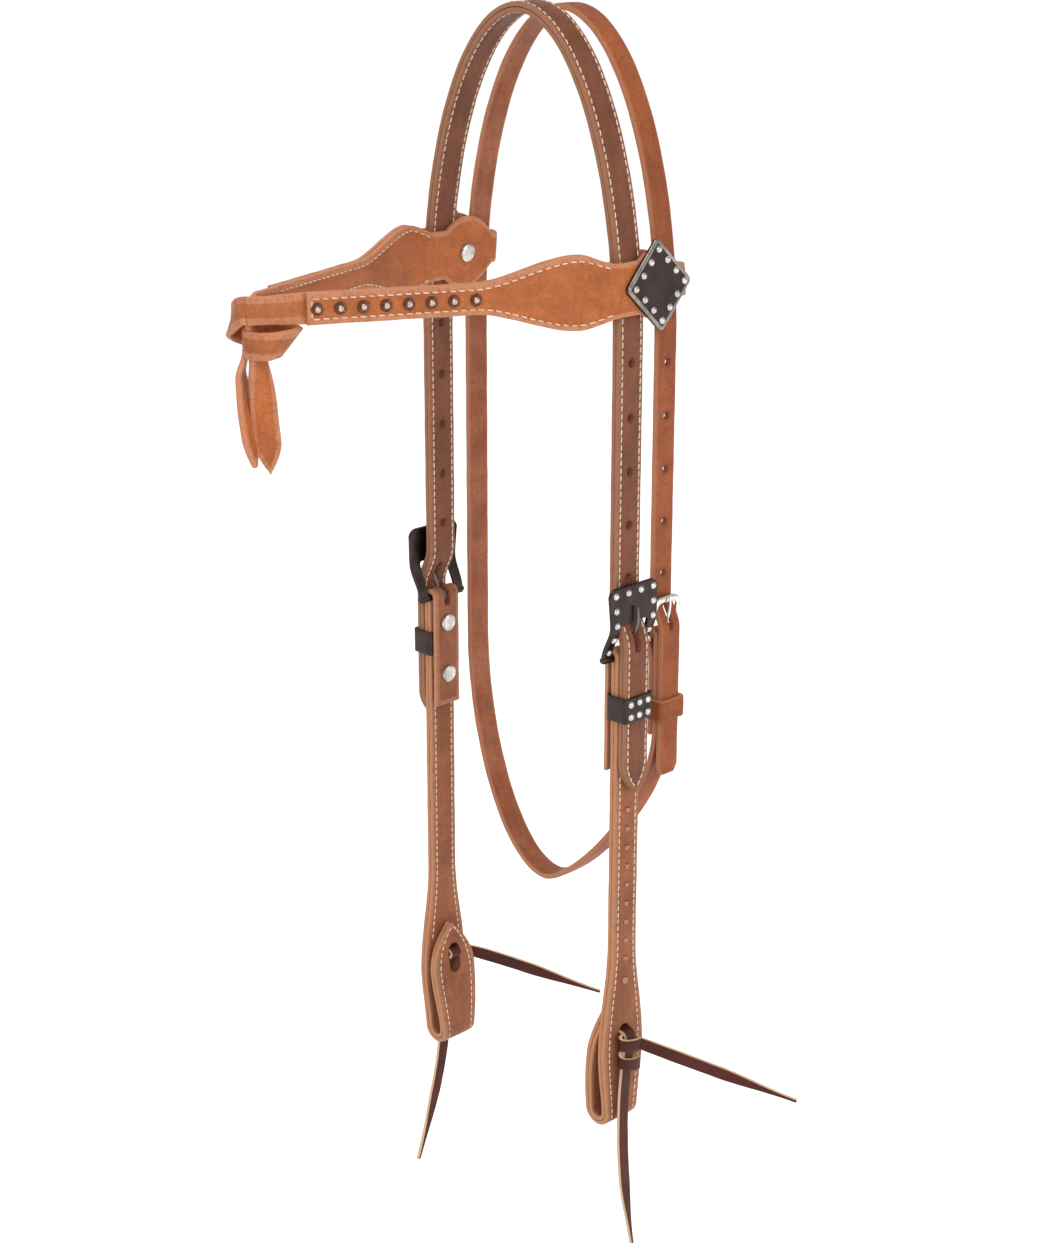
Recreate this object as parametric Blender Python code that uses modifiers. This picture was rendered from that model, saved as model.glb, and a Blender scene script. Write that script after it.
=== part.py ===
"""A western headstall: doubled crown and cheek straps, a knotted browband, a throatlatch and water ties.

Metres, +Z up. The horse would face -Y, and its left (near) side is +X. The origin is the underside of
the crown strap where it lies over the poll. Run with: blender --background --python part.py
"""

import math

import bmesh
import bpy
from mathutils import Matrix, Vector

# Clearances
SEAT = 0.0003
PLY_GAP = 0.0003
OVERRUN = 0.004

# Crown strap
STRAP_WIDTH = 0.0159
CROWN_PLY = 0.00235
HALF_SPAN = 0.0635
ARCH_REACH = 0.033
ARCH_SHOULDER = 0.060
ARCH_DROP = 0.145
HOLE_RISE = 0.0384
HOLE_SPACING = 0.0254
HOLE_COUNT = 5
HOLE_RADIUS = 0.0022
BILLET_TAIL = 0.068
BILLET_POINT = 0.015
TIP_HALF = 0.0005
TIP_CURVE = 1.7

# Cheek straps, measured down from the heel bar of the buckle
HEEL_DROP = 0.291
CHEEK_PLY = 0.0024
CHEEK_LINING = 0.0023
TAB_LENGTH = 0.058
CHEEK_LENGTH = 0.2487
BIT_LOOP_RADIUS = 0.0030
FLARE_START = 0.150
FLARE_FULL = 0.207
FLARE_WIDTH = 0.028
WAIST_WIDTH = 0.021
LEAF_LENGTH = 0.066
LEAF_POINT = 0.026
LEAF_CURVE = 2.1
TIE_SLOT_DROP = 0.202
TIE_SLOT_LENGTH = 0.0165
TIE_SLOT_WIDTH = 0.0078
CHEEK_SPOT_DROP = 0.0785
CHEEK_SPOT_SPACING = 0.0099
CHEEK_SPOT_COUNT = 9
LOW_SPOT_DROP = 0.170
SPOT_RADIUS = 0.0015
LOW_SPOT_RADIUS = 0.0019
SPOT_HEIGHT = 0.0009

# Cheek buckles
BAR_RADIUS = 0.0016
FRAME_PLATE = 0.0022
FRAME_TOP_HALF = 0.0160
FRAME_FOOT_HALF = 0.0144
FRAME_RISE = 0.036
FRAME_CORNER = 0.0045
FRAME_OPENING = 0.018
FRAME_DISH = 0.0006
LEG_CLEARANCE = 0.0011
STUD_RADIUS = 0.0018
STUD_HEIGHT = 0.0011
STUD_INSET = 0.0034
STUD_FOOT = 0.0040
STUDS_PER_LEG = 4
STUD_ROW_SHARES = (-1, -1 / 3, 1 / 3, 1)
TONGUE_RADIUS = 0.0010
TONGUE_SLOT = 0.0042
TONGUE_SLOT_TOP = 0.0070
TONGUE_SLOT_FOOT = 0.0050
TONGUE_LENGTH = 0.025
TONGUE_ROOT = math.radians(41)
TONGUE_TIP_SHARE = 0.7
TONGUE_SHARES = (
    (0.34, 0.18), (0.49, 0.32), (0.76, 0.48), (0.98, 0.64), (1.04, 0.72), (1.05, 0.84), (1.01, 1.0),
)
STEP_START = 0.025
STEP_END = 0.005
STEP_SLANT = 1.12

# Cheek screws and metal keepers
SCREW_SHANK = 0.0022
SCREW_HEAD = 0.0044
SCREW_HEAD_RIM = 0.0036
SCREW_HEAD_DEPTH = 0.0013
SCREW_CAP = 0.0036
SCREW_CAP_DEPTH = 0.0009
SCREW_DROPS = (0.0138, 0.0414)
KEEPER_BAND = 0.0011
KEEPER_HEIGHT = 0.0125
KEEPER_DROP = 0.0245
KEEPER_SIDE_CLEARANCE = 0.0006
KEEPER_CORNER = 0.0008
KEEPER_STUD_ROW = 0.0031
KEEPER_STUD_COLUMN = 0.0058
KEEPER_STUD_HEIGHT = 0.0009

# Browband, measured along the strap from the knot
BROW_PLY = 0.0026
BROW_DROP = 0.117
BROW_RUNNING_GAP = 0.0009
KNOT_REACH = 0.1693
KNOT_RISE = 0.0042
BROW_CORNER = 0.0109
BROW_BEND = 0.040
BROW_NARROW = 0.0136
BROW_WIDE = 0.0336
BROW_NECK = 0.0240
BROW_TAB = 0.0150
LOBE_RADIUS = 0.0175
NARROW_END = 0.102
WIDE_AT = 0.153
NECK_AT = 0.172
OVERLAY_END = 0.026
BROW_FOLD = 0.0304
BROW_PARTING = 0.153
BROW_PARTED = 0.169
BROW_SPOT_START = 0.0302
BROW_SPOT_SPACING = 0.0104
BROW_SPOT_COUNT = 8
BROW_SPOT_POST = 0.0009
BROW_SPOT_RIM = 0.00275
BROW_SPOT_DOME = 0.0018
BROW_SPOT_RIM_DEPTH = 0.0005
BROW_SPOT_CROWN = 0.00135
BROW_SPOT_SHOULDER = 0.0014
BROW_SPOT_HEIGHT = 0.0019

# Knot of the two browband halves: the near one is wound round the far one's tail
KNOT_ASIDE = 0.0034
WRAP_SIDE = 0.0075
WRAP_FRONT = 0.0096
WRAP_STEP = 0.0033
WRAP_DROP = 0.0146
WRAP_START = math.radians(27)
WRAP_UNDER = math.radians(225)
WRAP_OUTWARD = math.radians(200)
WRAP_OUTER = math.radians(330)
WRAP_END = math.radians(520)
WRAP_FROM = 0.0075
TAIL_AT = 0.0105
TAIL_BEND = 0.0080
TAIL_TURN = math.radians(60)
TAIL_TURN_START = 0.020
TAIL_TURN_END = 0.048
BROW_TAIL = 0.074
TAIL_POINT = 0.014

# Conchos
CONCHO_SIDE = 0.0305
CONCHO_PLATE = 0.0024
CONCHO_CORNER = 0.0025
CONCHO_AT = 0.0130
CONCHO_STUD_REACH = 0.0160
CONCHO_STUDS_PER_EDGE = 4
CONCHO_RIM = 0.0005
CONCHO_POST_END = 0.0050
POST_RADIUS = 0.0029
POST_BORE = 0.0018
CONCHO_SCREW_HEAD = 0.0045
CONCHO_SCREW_RIM = 0.0036
CONCHO_SCREW_DEPTH = 0.0012

# Throatlatch
THROAT_WIDTH = 0.0127
THROAT_PLY = 0.0028
THROAT_SETBACK = 0.0254
THROAT_HEEL_DROP = 0.287
THROAT_TAIL = 0.070
THROAT_TAIL_CUT = 0.004
THROAT_TAB = 0.050
THROAT_FAR_END = 0.028
THROAT_LOW = 0.149
THROAT_LOW_SIDE = 0.009
THROAT_SWING = 0.088
THROAT_BELLY = 0.038
THROAT_TAB_JOIN = 0.012
THROAT_CUT_SHARE = 0.35
THROAT_NEAR_END = 0.048
THROAT_HOLE_RISE = 0.0309
THROAT_HOLE_COUNT = 5
THROAT_HOLE_RADIUS = 0.0019
THROAT_BAR = 0.0013
THROAT_STEP_START = 0.020
THROAT_STEP_END = 0.004
THROAT_FRAME_HALF = 0.0100
THROAT_FRAME_RISE = 0.020
THROAT_FRAME_PLATE = 0.0024
THROAT_FRAME_RAIL = 0.0033
THROAT_FRAME_CORNER = 0.0060
THROAT_FRAME_FOOT = 0.0030
THROAT_TONGUE = 0.0008
THROAT_TONGUE_SLOT = 0.0034
THROAT_SLOT_TOP = 0.0060
THROAT_SLOT_FOOT = 0.0045
THROAT_TONGUE_SHARES = ((0.42, 0.17), (0.60, 0.30), (0.86, 0.52), (1.0, 0.72), (1.03, 0.86), (1.0, 1.0))
THROAT_SCREW_DROP = 0.018
THROAT_KEEPER_DROP = 0.036
THROAT_KEEPER_HEIGHT = 0.0105
THROAT_KEEPER_PLY = 0.0020

# Water ties
LACE_WIDTH = 0.0064
LACE_PLY = 0.0020
LACE_TIP = 0.0014
LACE_TAPER = 0.045
TIE_AXIS = 0.0082
TIE_DEPTH = 0.0025
TIE_REACH_HALF = 0.0062
TIE_RISE = 0.0008
TIE_BEND = 0.0026
TIE_TURN = 0.0020
TIE_INNER = 0.0005
TIE_PITCH = 0.0076
TIE_TURN_STEPS = 16
TIE_PULL_SHARE = 0.35
NEAR_HANG = (0, 0.004, -0.119)
NEAR_BOW = (0, -0.008, 0)
NEAR_LEAVE = (0, 0.006, -0.001)
NEAR_LEAVE_SHARE = 0.15
NEAR_SWING = (0.060, 0.062, -0.032)
FAR_HANG = (0, -0.014, -0.1245)
FAR_BOW = (0, 0.010, 0)
FAR_LEAVE = (0, 0.016, -0.006)
FAR_LEAVE_SHARE = 0.2
FAR_SWING = (-0.053, 0.071, -0.032)

# Colour, roughness and metallic of each material
LOOKS = {
    "crown leather": ((0.28, 0.13, 0.07), 0.5, 0),
    "cheek leather": ((0.30, 0.14, 0.08), 0.5, 0),
    "browband leather": ((0.50, 0.20, 0.08), 0.5, 0),
    "throatlatch leather": ((0.48, 0.17, 0.06), 0.5, 0),
    "lace leather": ((0.11, 0.03, 0.03), 0.5, 0),
    "dark plated metal": ((0.07, 0.06, 0.06), 0.35, 1),
    "silver plated metal": ((0.62, 0.60, 0.57), 0.25, 1),
    "antique spots": ((0.45, 0.33, 0.25), 0.4, 1),
}
LEATHERS = ("crown leather", "cheek leather", "browband leather", "throatlatch leather", "lace leather")
METALS = ("dark plated metal", "silver plated metal", "antique spots")

# Facets
MERGE = 0.00001
CORNER_STEPS = 5
LOBE_STEPS = 12
LOOP_STEPS = 14
SPOT_SIDES = 10
DOME_SIDES = 8
DOME_RINGS = 4
HOLE_SIDES = 10
WRAP_STEPS = 26
TAIL_STEPS = 7
TIP_STEPS = 6
TONGUE_SIDES = 8
ARCH_STEPS = 18
FOLD_STEPS = 8
BIT_FOLD_STEPS = 9
EASE_STEPS = 8
ROUND_STEPS = 12


def near_side(side, x, y, z):
    """A point given on the near side, or its mirror image on the far side."""
    return Vector((side * x, y, z))


def ease(share):
    share = min(max(share, 0), 1)
    return share * share * (3 - 2 * share)


# Worked out from the sizes above
CROWN_HALF = CROWN_PLY + PLY_GAP / 2
CHEEK_LEVEL = BAR_RADIUS + SEAT + CHEEK_PLY / 2
CHEEK_FACE = CHEEK_LEVEL + CHEEK_PLY / 2
LINING_OFFSET = CHEEK_PLY / 2 + PLY_GAP + CHEEK_LINING / 2
LINING_BACK = CHEEK_LEVEL - LINING_OFFSET - CHEEK_LINING / 2
TAB_LEVEL = LINING_BACK - KEEPER_BAND - 2 * SEAT - CHEEK_PLY / 2
TAIL_LEVEL = CHEEK_FACE + SEAT + CROWN_HALF
LOOP_FOLD = BIT_LOOP_RADIUS + CHEEK_LINING + PLY_GAP + CHEEK_PLY / 2
STEP_AT_OPENING = TAIL_LEVEL * ease((STEP_START - FRAME_OPENING) / (STEP_START - STEP_END))
FRAME_LEVEL = STEP_AT_OPENING + CROWN_HALF * STEP_SLANT + SEAT + FRAME_PLATE / 2
OPENING_HALF = STRAP_WIDTH / 2 + LEG_CLEARANCE
BROW_PLY_LEVEL = (BROW_PLY + PLY_GAP) / 2
BROW_RUN_LEVEL = CROWN_HALF + BROW_RUNNING_GAP + BROW_PLY / 2
KNOT_LEVEL = KNOT_RISE - BROW_DROP
THROAT_LEVEL = THROAT_BAR + SEAT + THROAT_PLY / 2
THROAT_TAIL_LEVEL = THROAT_LEVEL + THROAT_PLY + SEAT
THROAT_STEP = THROAT_TAIL_LEVEL * ease(
    (THROAT_STEP_START - THROAT_FRAME_RISE + THROAT_FRAME_RAIL) / (THROAT_STEP_START - THROAT_STEP_END)
)
THROAT_FRAME_LEVEL = THROAT_STEP + THROAT_PLY / 2 * STEP_SLANT + SEAT + THROAT_FRAME_PLATE / 2
TIE_DROP = TIE_SLOT_DROP - TIE_RISE
TIE_BEND_DROP = TIE_DROP - 2 * TIE_TURN
UP = Vector((0, 0, 1))


def bezier(a, b, c, d, steps):
    """Points of a cubic curve in a plane, without its first one."""
    points = []
    for i in range(1, steps + 1):
        t = i / steps
        s = 1 - t
        weights = (s * s * s, 3 * s * s * t, 3 * s * t * t, t * t * t)
        points.append(tuple(sum(w * p[k] for w, p in zip(weights, (a, b, c, d))) for k in (0, 1)))
    return points


def line(start, end, steps):
    """Evenly spaced points after start, up to and with end."""
    return [tuple(p + (q - p) * i / steps for p, q in zip(start, end)) for i in range(1, steps + 1)]


def step_over(level, start, end):
    """A smooth step sideways by level between two heights, as offsets from the strap's plane."""
    points = []
    for i in range(1, EASE_STEPS + 1):
        share = i / EASE_STEPS
        points.append((level * ease(share), start + (end - start) * share))
    return points


def lengths(route):
    """The distance along the route at each of its points."""
    total = [0]
    for p, q in zip(route, route[1:]):
        total.append(total[-1] + math.dist(p, q))
    return total


def offset(route, distance):
    """The route moved sideways by a distance, to its left as it runs."""
    moved = []
    for i, point in enumerate(route):
        before = route[max(i - 1, 0)]
        after = route[min(i + 1, len(route) - 1)]
        along = Vector((after[0] - before[0], after[1] - before[1])).normalized()
        moved.append((point[0] - along.y * distance, point[1] + along.x * distance))
    return moved


def pointed(half, left, point):
    """The half width where this length is left before a pointed end."""
    if left >= point:
        return half
    share = 1 - left / point
    return max(half * (1 - share ** TIP_CURVE), TIP_HALF)


def material(name, colour, roughness, metallic):
    made = bpy.data.materials.new(name)
    made.use_nodes = True
    shader = made.node_tree.nodes["Principled BSDF"]
    shader.inputs["Base Color"].default_value = (*colour, 1)
    shader.inputs["Roughness"].default_value = roughness
    shader.inputs["Metallic"].default_value = metallic
    return made


def clear_scene():
    for obj in list(bpy.data.objects):
        bpy.data.objects.remove(obj)


class Bench:
    """The collections that the parts and the cutters go in."""

    def __init__(self):
        self.parts = bpy.data.collections.new("western_headstall")
        self.cutters = bpy.data.collections.new("cutters")
        for collection in (self.parts, self.cutters):
            bpy.context.scene.collection.children.link(collection)

    def add(self, name, bm, look, smooth=True):
        mesh = bpy.data.meshes.new(name)
        bmesh.ops.recalc_face_normals(bm, faces=bm.faces)
        bm.to_mesh(mesh)
        bm.free()
        obj = bpy.data.objects.new(name, mesh)
        if look is None:
            self.cutters.objects.link(obj)
            obj.hide_render = True
            obj.display_type = "WIRE"
            return obj
        mesh.materials.append(look)
        for face in mesh.polygons:
            face.use_smooth = smooth
        self.parts.objects.link(obj)
        return obj

    def helper(self, name, bm):
        return self.add(name, bm, None)

    def combine(self, obj, helper, operation):
        modifier = obj.modifiers.new(helper.name, "BOOLEAN")
        modifier.operation = operation
        modifier.object = helper
        modifier.solver = "EXACT"

    def cut(self, obj, helper):
        self.combine(obj, helper, "DIFFERENCE")

    def fuse(self, obj, helper):
        self.combine(obj, helper, "UNION")

    def ribbon(self, name, stations, thickness, look):
        """A strap: a grid laid along the stations (centre, width direction, half width), made thick."""
        bm = bmesh.new()
        last = len(stations) - 1
        bmesh.ops.create_grid(bm, x_segments=last, y_segments=1, size=1)
        for vertex in bm.verts:
            centre, wide, half = stations[round((vertex.co.x + 1) / 2 * last)]
            vertex.co = centre + wide * half * vertex.co.y
        obj = self.add(name, bm, look)
        solid = obj.modifiers.new("thickness", "SOLIDIFY")
        solid.thickness = thickness
        solid.offset = 0
        solid.use_even_offset = True
        return obj

    def solid_of_curve(self, curve, look):
        """A curve object turned into a closed mesh that can be cut and joined."""
        graph = bpy.context.evaluated_depsgraph_get()
        bpy.context.scene.collection.objects.link(curve)
        graph.update()
        mesh = bpy.data.meshes.new_from_object(curve.evaluated_get(graph))
        bm = bmesh.new()
        bm.from_mesh(mesh)
        bmesh.ops.remove_doubles(bm, verts=bm.verts, dist=MERGE)
        name = curve.name
        place = curve.matrix_world.copy()
        bpy.data.objects.remove(curve)
        obj = self.add(name, bm, look)
        obj.matrix_world = place
        return obj

    def pivot(self, obj, point):
        """Moves the object's origin to a point, and leaves its shape where it is."""
        obj.data.transform(Matrix.Translation(-point) @ obj.matrix_basis)
        obj.matrix_basis = Matrix.Translation(point)


def cylinder(bm, radius, start, end, sides=ROUND_STEPS):
    """A rod between two points, added to the mesh."""
    axis = end - start
    turn = axis.to_track_quat("Z", "Y").to_matrix().to_4x4()
    place = Matrix.Translation((start + end) / 2) @ turn
    bmesh.ops.create_cone(
        bm,
        cap_ends=True,
        segments=sides,
        radius1=radius,
        radius2=radius,
        depth=axis.length,
        matrix=place,
    )


def slot(bm, radius, reach, start, end, along):
    """A rod stretched into a slot: its two halves are moved apart by reach, along a direction."""
    before = set(bm.verts)
    cylinder(bm, radius, start, end)
    middle = (start + end) / 2
    for vertex in set(bm.verts) - before:
        if (vertex.co - middle).dot(along) > 0:
            vertex.co += along * reach
        else:
            vertex.co -= along * reach


def turned(bm, centre, axis, profile, sides, closed=False):
    """A turned shape: a profile of (radius, height) points spun round an axis through the centre."""
    sideways = axis.orthogonal().normalized()
    verts = [bm.verts.new(centre + sideways * radius + axis * height) for radius, height in profile]
    ends = zip(verts, verts[1:] + verts[:1]) if closed else zip(verts, verts[1:])
    edges = [bm.edges.new(pair) for pair in ends]
    bmesh.ops.spin(bm, geom=verts + edges, cent=centre, axis=axis, angle=2 * math.pi, steps=sides)
    bmesh.ops.remove_doubles(bm, verts=bm.verts, dist=MERGE)


def dome(bm, centre, outward, radius, height):
    """A round stud head: half of it stands out of the face at centre."""
    turn = outward.to_track_quat("Z", "Y").to_matrix().to_4x4()
    size = Matrix.Diagonal((radius, radius, height, 1))
    place = Matrix.Translation(centre) @ turn @ size
    bmesh.ops.create_uvsphere(bm, u_segments=DOME_SIDES, v_segments=DOME_RINGS, radius=1, matrix=place)


def flat_curve(name, outlines, half_depth):
    """A flat shape from closed outlines in its own XY plane, with any inner ones as openings."""
    curve = bpy.data.curves.new(name, "CURVE")
    curve.dimensions = "2D"
    curve.fill_mode = "BOTH"
    curve.extrude = half_depth
    for outline in outlines:
        spline = curve.splines.new("POLY")
        spline.points.add(len(outline) - 1)
        for point, (x, y) in zip(spline.points, outline):
            point.co = (x, y, 0, 1)
        spline.use_cyclic_u = True
    return bpy.data.objects.new(name, curve)


def rounded_box(low, high, radius, steps=4):
    """The outline of a rectangle with round corners."""
    points = []
    corners = ((high[0], high[1]), (low[0], high[1]), (low[0], low[1]), (high[0], low[1]))
    for i, (x, y) in enumerate(corners):
        inner = Vector((x - math.copysign(radius, x - (low[0] + high[0]) / 2),
                        y - math.copysign(radius, y - (low[1] + high[1]) / 2)))
        for k in range(steps + 1):
            angle = math.pi / 2 * (i + k / steps)
            points.append((inner.x + radius * math.cos(angle), inner.y + radius * math.sin(angle)))
    return points


# Crown strap

def arch(height):
    """Half of the arch over the poll, from its top to where the strap hangs plumb."""
    top = (0, height)
    return [top] + bezier(
        top,
        (ARCH_REACH, height),
        (HALF_SPAN, -ARCH_SHOULDER),
        (HALF_SPAN, -ARCH_DROP),
        ARCH_STEPS,
    )


def arch_at(drop):
    """Where the crown strap's middle lies at a height on the near side, and how far it leans there."""
    points = arch(CROWN_HALF)
    for (x0, z0), (x1, z1) in zip(points, points[1:]):
        if z1 <= -drop <= z0:
            share = (z0 + drop) / (z0 - z1)
            return x0 + (x1 - x0) * share, (x1 - x0) / (z0 - z1)
    return HALF_SPAN, 0


def crown_half():
    """The near half of the crown strap's middle line, from the poll to its pointed end."""
    route = arch(CROWN_HALF)
    step_top = -HEEL_DROP + STEP_START
    route += line(route[-1], (HALF_SPAN, step_top), 8)
    for level, z in step_over(TAIL_LEVEL, step_top, -HEEL_DROP + STEP_END):
        route.append((HALF_SPAN + level, z))
    x = HALF_SPAN + TAIL_LEVEL
    tip = -HEEL_DROP - BILLET_TAIL
    route += line(route[-1], (x, tip + BILLET_POINT), 4)
    route += line(route[-1], (x, tip), 8)
    return route


def crown_stations(route):
    total = lengths(route)
    stations = []
    for (x, z), run in zip(route, total):
        left = min(run, total[-1] - run)
        half = pointed(STRAP_WIDTH / 2, left, BILLET_POINT)
        stations.append((Vector((x, 0, z)), Vector((0, 1, 0)), half))
    return stations


def crown_holes(bench):
    """The billet holes on both sides, and the slots that the buckle tongues pass through."""
    bm = bmesh.new()
    for side in (1, -1):
        for i in range(HOLE_COUNT):
            z = -HEEL_DROP + HOLE_RISE + i * HOLE_SPACING
            inner = near_side(side, HALF_SPAN - CROWN_HALF - OVERRUN, 0, z)
            outer = near_side(side, HALF_SPAN + CROWN_HALF + OVERRUN, 0, z)
            cylinder(bm, HOLE_RADIUS, inner, outer, HOLE_SIDES)
        low = -HEEL_DROP + STEP_END - 2 * TONGUE_RADIUS
        high = -HEEL_DROP + FRAME_OPENING - TONGUE_RADIUS
        reach = (high - low - TONGUE_SLOT) / 2
        inner = near_side(side, HALF_SPAN - OVERRUN, 0, (low + high) / 2)
        outer = near_side(side, HALF_SPAN + TAIL_LEVEL + CROWN_HALF + OVERRUN, 0, (low + high) / 2)
        slot(bm, TONGUE_SLOT / 2, reach, inner, outer, Vector((0, 0, 1)))
    return bench.helper("crown_hole_cutter", bm)


def crown(bench, look):
    half = crown_half()
    route = [(-x, z) for x, z in reversed(half[1:])] + half
    shift = (CROWN_PLY + PLY_GAP) / 2
    cutter = crown_holes(bench)
    for name, distance in (("crown_strap", shift), ("crown_lining", -shift)):
        ply = bench.ribbon(name, crown_stations(offset(route, distance)), CROWN_PLY, look)
        bench.cut(ply, cutter)


# Cheek straps

def cheek_half_width(run, leaf_start, total):
    """Half the cheek strap's width at a distance along it from the heel bar."""
    if run <= FLARE_FULL:
        share = (run - FLARE_START) / (FLARE_FULL - FLARE_START)
        return (STRAP_WIDTH + (FLARE_WIDTH - STRAP_WIDTH) * ease(share)) / 2
    narrow = (WAIST_WIDTH - FLARE_WIDTH) / 2
    if run <= CHEEK_LENGTH:
        return FLARE_WIDTH / 2 + narrow * ease((run - FLARE_FULL) / (CHEEK_LENGTH - FLARE_FULL))
    if run <= leaf_start:
        return WAIST_WIDTH / 2
    shoulder = total - LEAF_POINT
    if run <= shoulder:
        return WAIST_WIDTH / 2 - narrow * ease((run - leaf_start) / (shoulder - leaf_start))
    share = (run - shoulder) / LEAF_POINT
    return max(FLARE_WIDTH / 2 * (1 - share ** LEAF_CURVE), TIP_HALF)


def cheek_body():
    """The outer ply below the buckle as (level, drop) points: down, round the bit loop and up to the tip."""
    route = [(CHEEK_LEVEL, 0)]
    route += line(route[-1], (CHEEK_LEVEL, FLARE_START), 8)
    route += line(route[-1], (CHEEK_LEVEL, CHEEK_LENGTH - LOOP_FOLD), 14)
    centre = CHEEK_LEVEL - LOOP_FOLD
    for i in range(1, BIT_FOLD_STEPS + 1):
        angle = math.pi * i / BIT_FOLD_STEPS
        drop = CHEEK_LENGTH - LOOP_FOLD + LOOP_FOLD * math.sin(angle)
        route.append((centre + LOOP_FOLD * math.cos(angle), drop))
    start = route[-1]
    rest = CHEEK_LEVEL - 2 * LINING_OFFSET - CHEEK_LINING - SEAT
    steps = 16
    bottom = CHEEK_LENGTH - LOOP_FOLD
    top = CHEEK_LENGTH - LEAF_LENGTH
    for i in range(1, steps + 1):
        share = i / steps
        route.append((start[0] + (rest - start[0]) * ease(share), bottom + (top - bottom) * share))
    return route


def cheek_top():
    """The outer ply from the end of the tab up and over the heel bar, as (level, drop) points."""
    radius = (CHEEK_LEVEL - TAB_LEVEL) / 2
    centre = (CHEEK_LEVEL + TAB_LEVEL) / 2
    route = [(TAB_LEVEL, TAB_LENGTH)]
    route += line(route[0], (TAB_LEVEL, 0), 4)
    for i in range(1, FOLD_STEPS):
        angle = math.pi * (1 + i / FOLD_STEPS)
        route.append((centre + radius * math.cos(angle), radius * math.sin(angle)))
    return route


def cheek_place(side, level, drop, along=0):
    """A world point from a level out of the strap's plane, a drop below the heel bar and a place across."""
    return near_side(side, HALF_SPAN + level, along, -HEEL_DROP - drop)


def cheek_openings(bench, name, side):
    """The cutters for both plies: tongue slot and screw holes, tie slot, and pockets for the screw caps."""
    up = Vector((0, 0, 1))
    bm = bmesh.new()
    middle = (TONGUE_SLOT_FOOT - TONGUE_SLOT_TOP) / 2
    reach = (TONGUE_SLOT_FOOT + TONGUE_SLOT_TOP - TONGUE_SLOT) / 2
    inner = TAB_LEVEL - CHEEK_PLY / 2 - OVERRUN
    outer = CHEEK_FACE + OVERRUN
    slot(bm, TONGUE_SLOT / 2, reach, cheek_place(side, inner, middle), cheek_place(side, outer, middle), up)
    for drop in SCREW_DROPS:
        cylinder(bm, SCREW_SHANK + SEAT, cheek_place(side, inner, drop), cheek_place(side, outer, drop))
    holes = bench.helper(name + "_cheek_holes", bm)
    bm = bmesh.new()
    floor = CHEEK_FACE - SCREW_CAP_DEPTH - 2 * SEAT
    for drop in SCREW_DROPS:
        cylinder(bm, SCREW_CAP + SEAT, cheek_place(side, floor, drop), cheek_place(side, outer, drop))
    pockets = bench.helper(name + "_cap_pockets", bm)
    bm = bmesh.new()
    inner = CHEEK_LEVEL - 2 * LOOP_FOLD - OVERRUN
    start = cheek_place(side, inner, TIE_SLOT_DROP)
    end = cheek_place(side, outer, TIE_SLOT_DROP)
    slot(bm, TIE_SLOT_WIDTH / 2, (TIE_SLOT_LENGTH - TIE_SLOT_WIDTH) / 2, start, end, up)
    return holes, pockets, bench.helper(name + "_tie_slot", bm)


def cheek_spots(bench, name, side):
    """The small round spots down the cheek, with a larger one below them."""
    bm = bmesh.new()
    outward = near_side(side, 1, 0, 0)
    for i in range(CHEEK_SPOT_COUNT):
        place = cheek_place(side, CHEEK_FACE, CHEEK_SPOT_DROP + i * CHEEK_SPOT_SPACING)
        dome(bm, place, outward, SPOT_RADIUS, SPOT_HEIGHT)
    dome(bm, cheek_place(side, CHEEK_FACE, LOW_SPOT_DROP), outward, LOW_SPOT_RADIUS, SPOT_HEIGHT)
    return bench.helper(name + "_spots", bm)


def cheek(bench, name, side, look):
    body = cheek_body()
    top = cheek_top()
    runs = lengths(body)
    leaf_start = CHEEK_LENGTH + LOOP_FOLD
    halves = [STRAP_WIDTH / 2] * len(top)
    halves += [cheek_half_width(run, leaf_start, runs[-1]) for run in runs]
    across = Vector((0, 1, 0))
    outer = [
        (cheek_place(side, level, drop), across, half) for (level, drop), half in zip(top + body, halves)
    ]
    strap = bench.ribbon(name + "_cheek_strap", outer, CHEEK_PLY, look)
    inner = []
    for (level, drop), run in zip(offset(body, LINING_OFFSET), runs):
        inner.append((cheek_place(side, level, drop), across, cheek_half_width(run, leaf_start, runs[-1])))
    first = BAR_RADIUS + 2 * SEAT
    inner[0] = (cheek_place(side, CHEEK_LEVEL - LINING_OFFSET, first), across, STRAP_WIDTH / 2)
    lining = bench.ribbon(name + "_cheek_lining", inner, CHEEK_LINING, look)
    openings = cheek_openings(bench, name, side)
    for ply in (strap, lining):
        for opening in openings:
            bench.cut(ply, opening)
    bench.fuse(strap, cheek_spots(bench, name, side))


def cheek_screws(bench, name, side, look):
    """Screw posts through tab and cheek: a wide head inside, and a cap sunk in the outer ply."""
    seat = TAB_LEVEL - CHEEK_PLY / 2 - SEAT
    back = seat - SCREW_HEAD_DEPTH
    top = CHEEK_FACE - SEAT
    under = top - SCREW_CAP_DEPTH
    profile = (
        (0, back), (SCREW_HEAD_RIM, back), (SCREW_HEAD, seat - SEAT), (SCREW_HEAD, seat),
        (SCREW_SHANK, seat), (SCREW_SHANK, under), (SCREW_CAP, under), (SCREW_CAP, top), (0, top),
    )
    for number, drop in zip(("upper", "lower"), SCREW_DROPS):
        bm = bmesh.new()
        turned(bm, cheek_place(side, 0, drop), near_side(side, 1, 0, 0), profile, ROUND_STEPS)
        bench.add(name + "_" + number + "_cheek_screw", bm, look)


# Buckles

def frame_level(drop):
    """How far the cheek buckle's plate stands out at a drop below the heel bar."""
    rise = FRAME_LEVEL * ease(-drop / FRAME_OPENING)
    return rise - FRAME_DISH * ease((-drop - FRAME_OPENING) / (FRAME_RISE - FRAME_OPENING))


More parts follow.
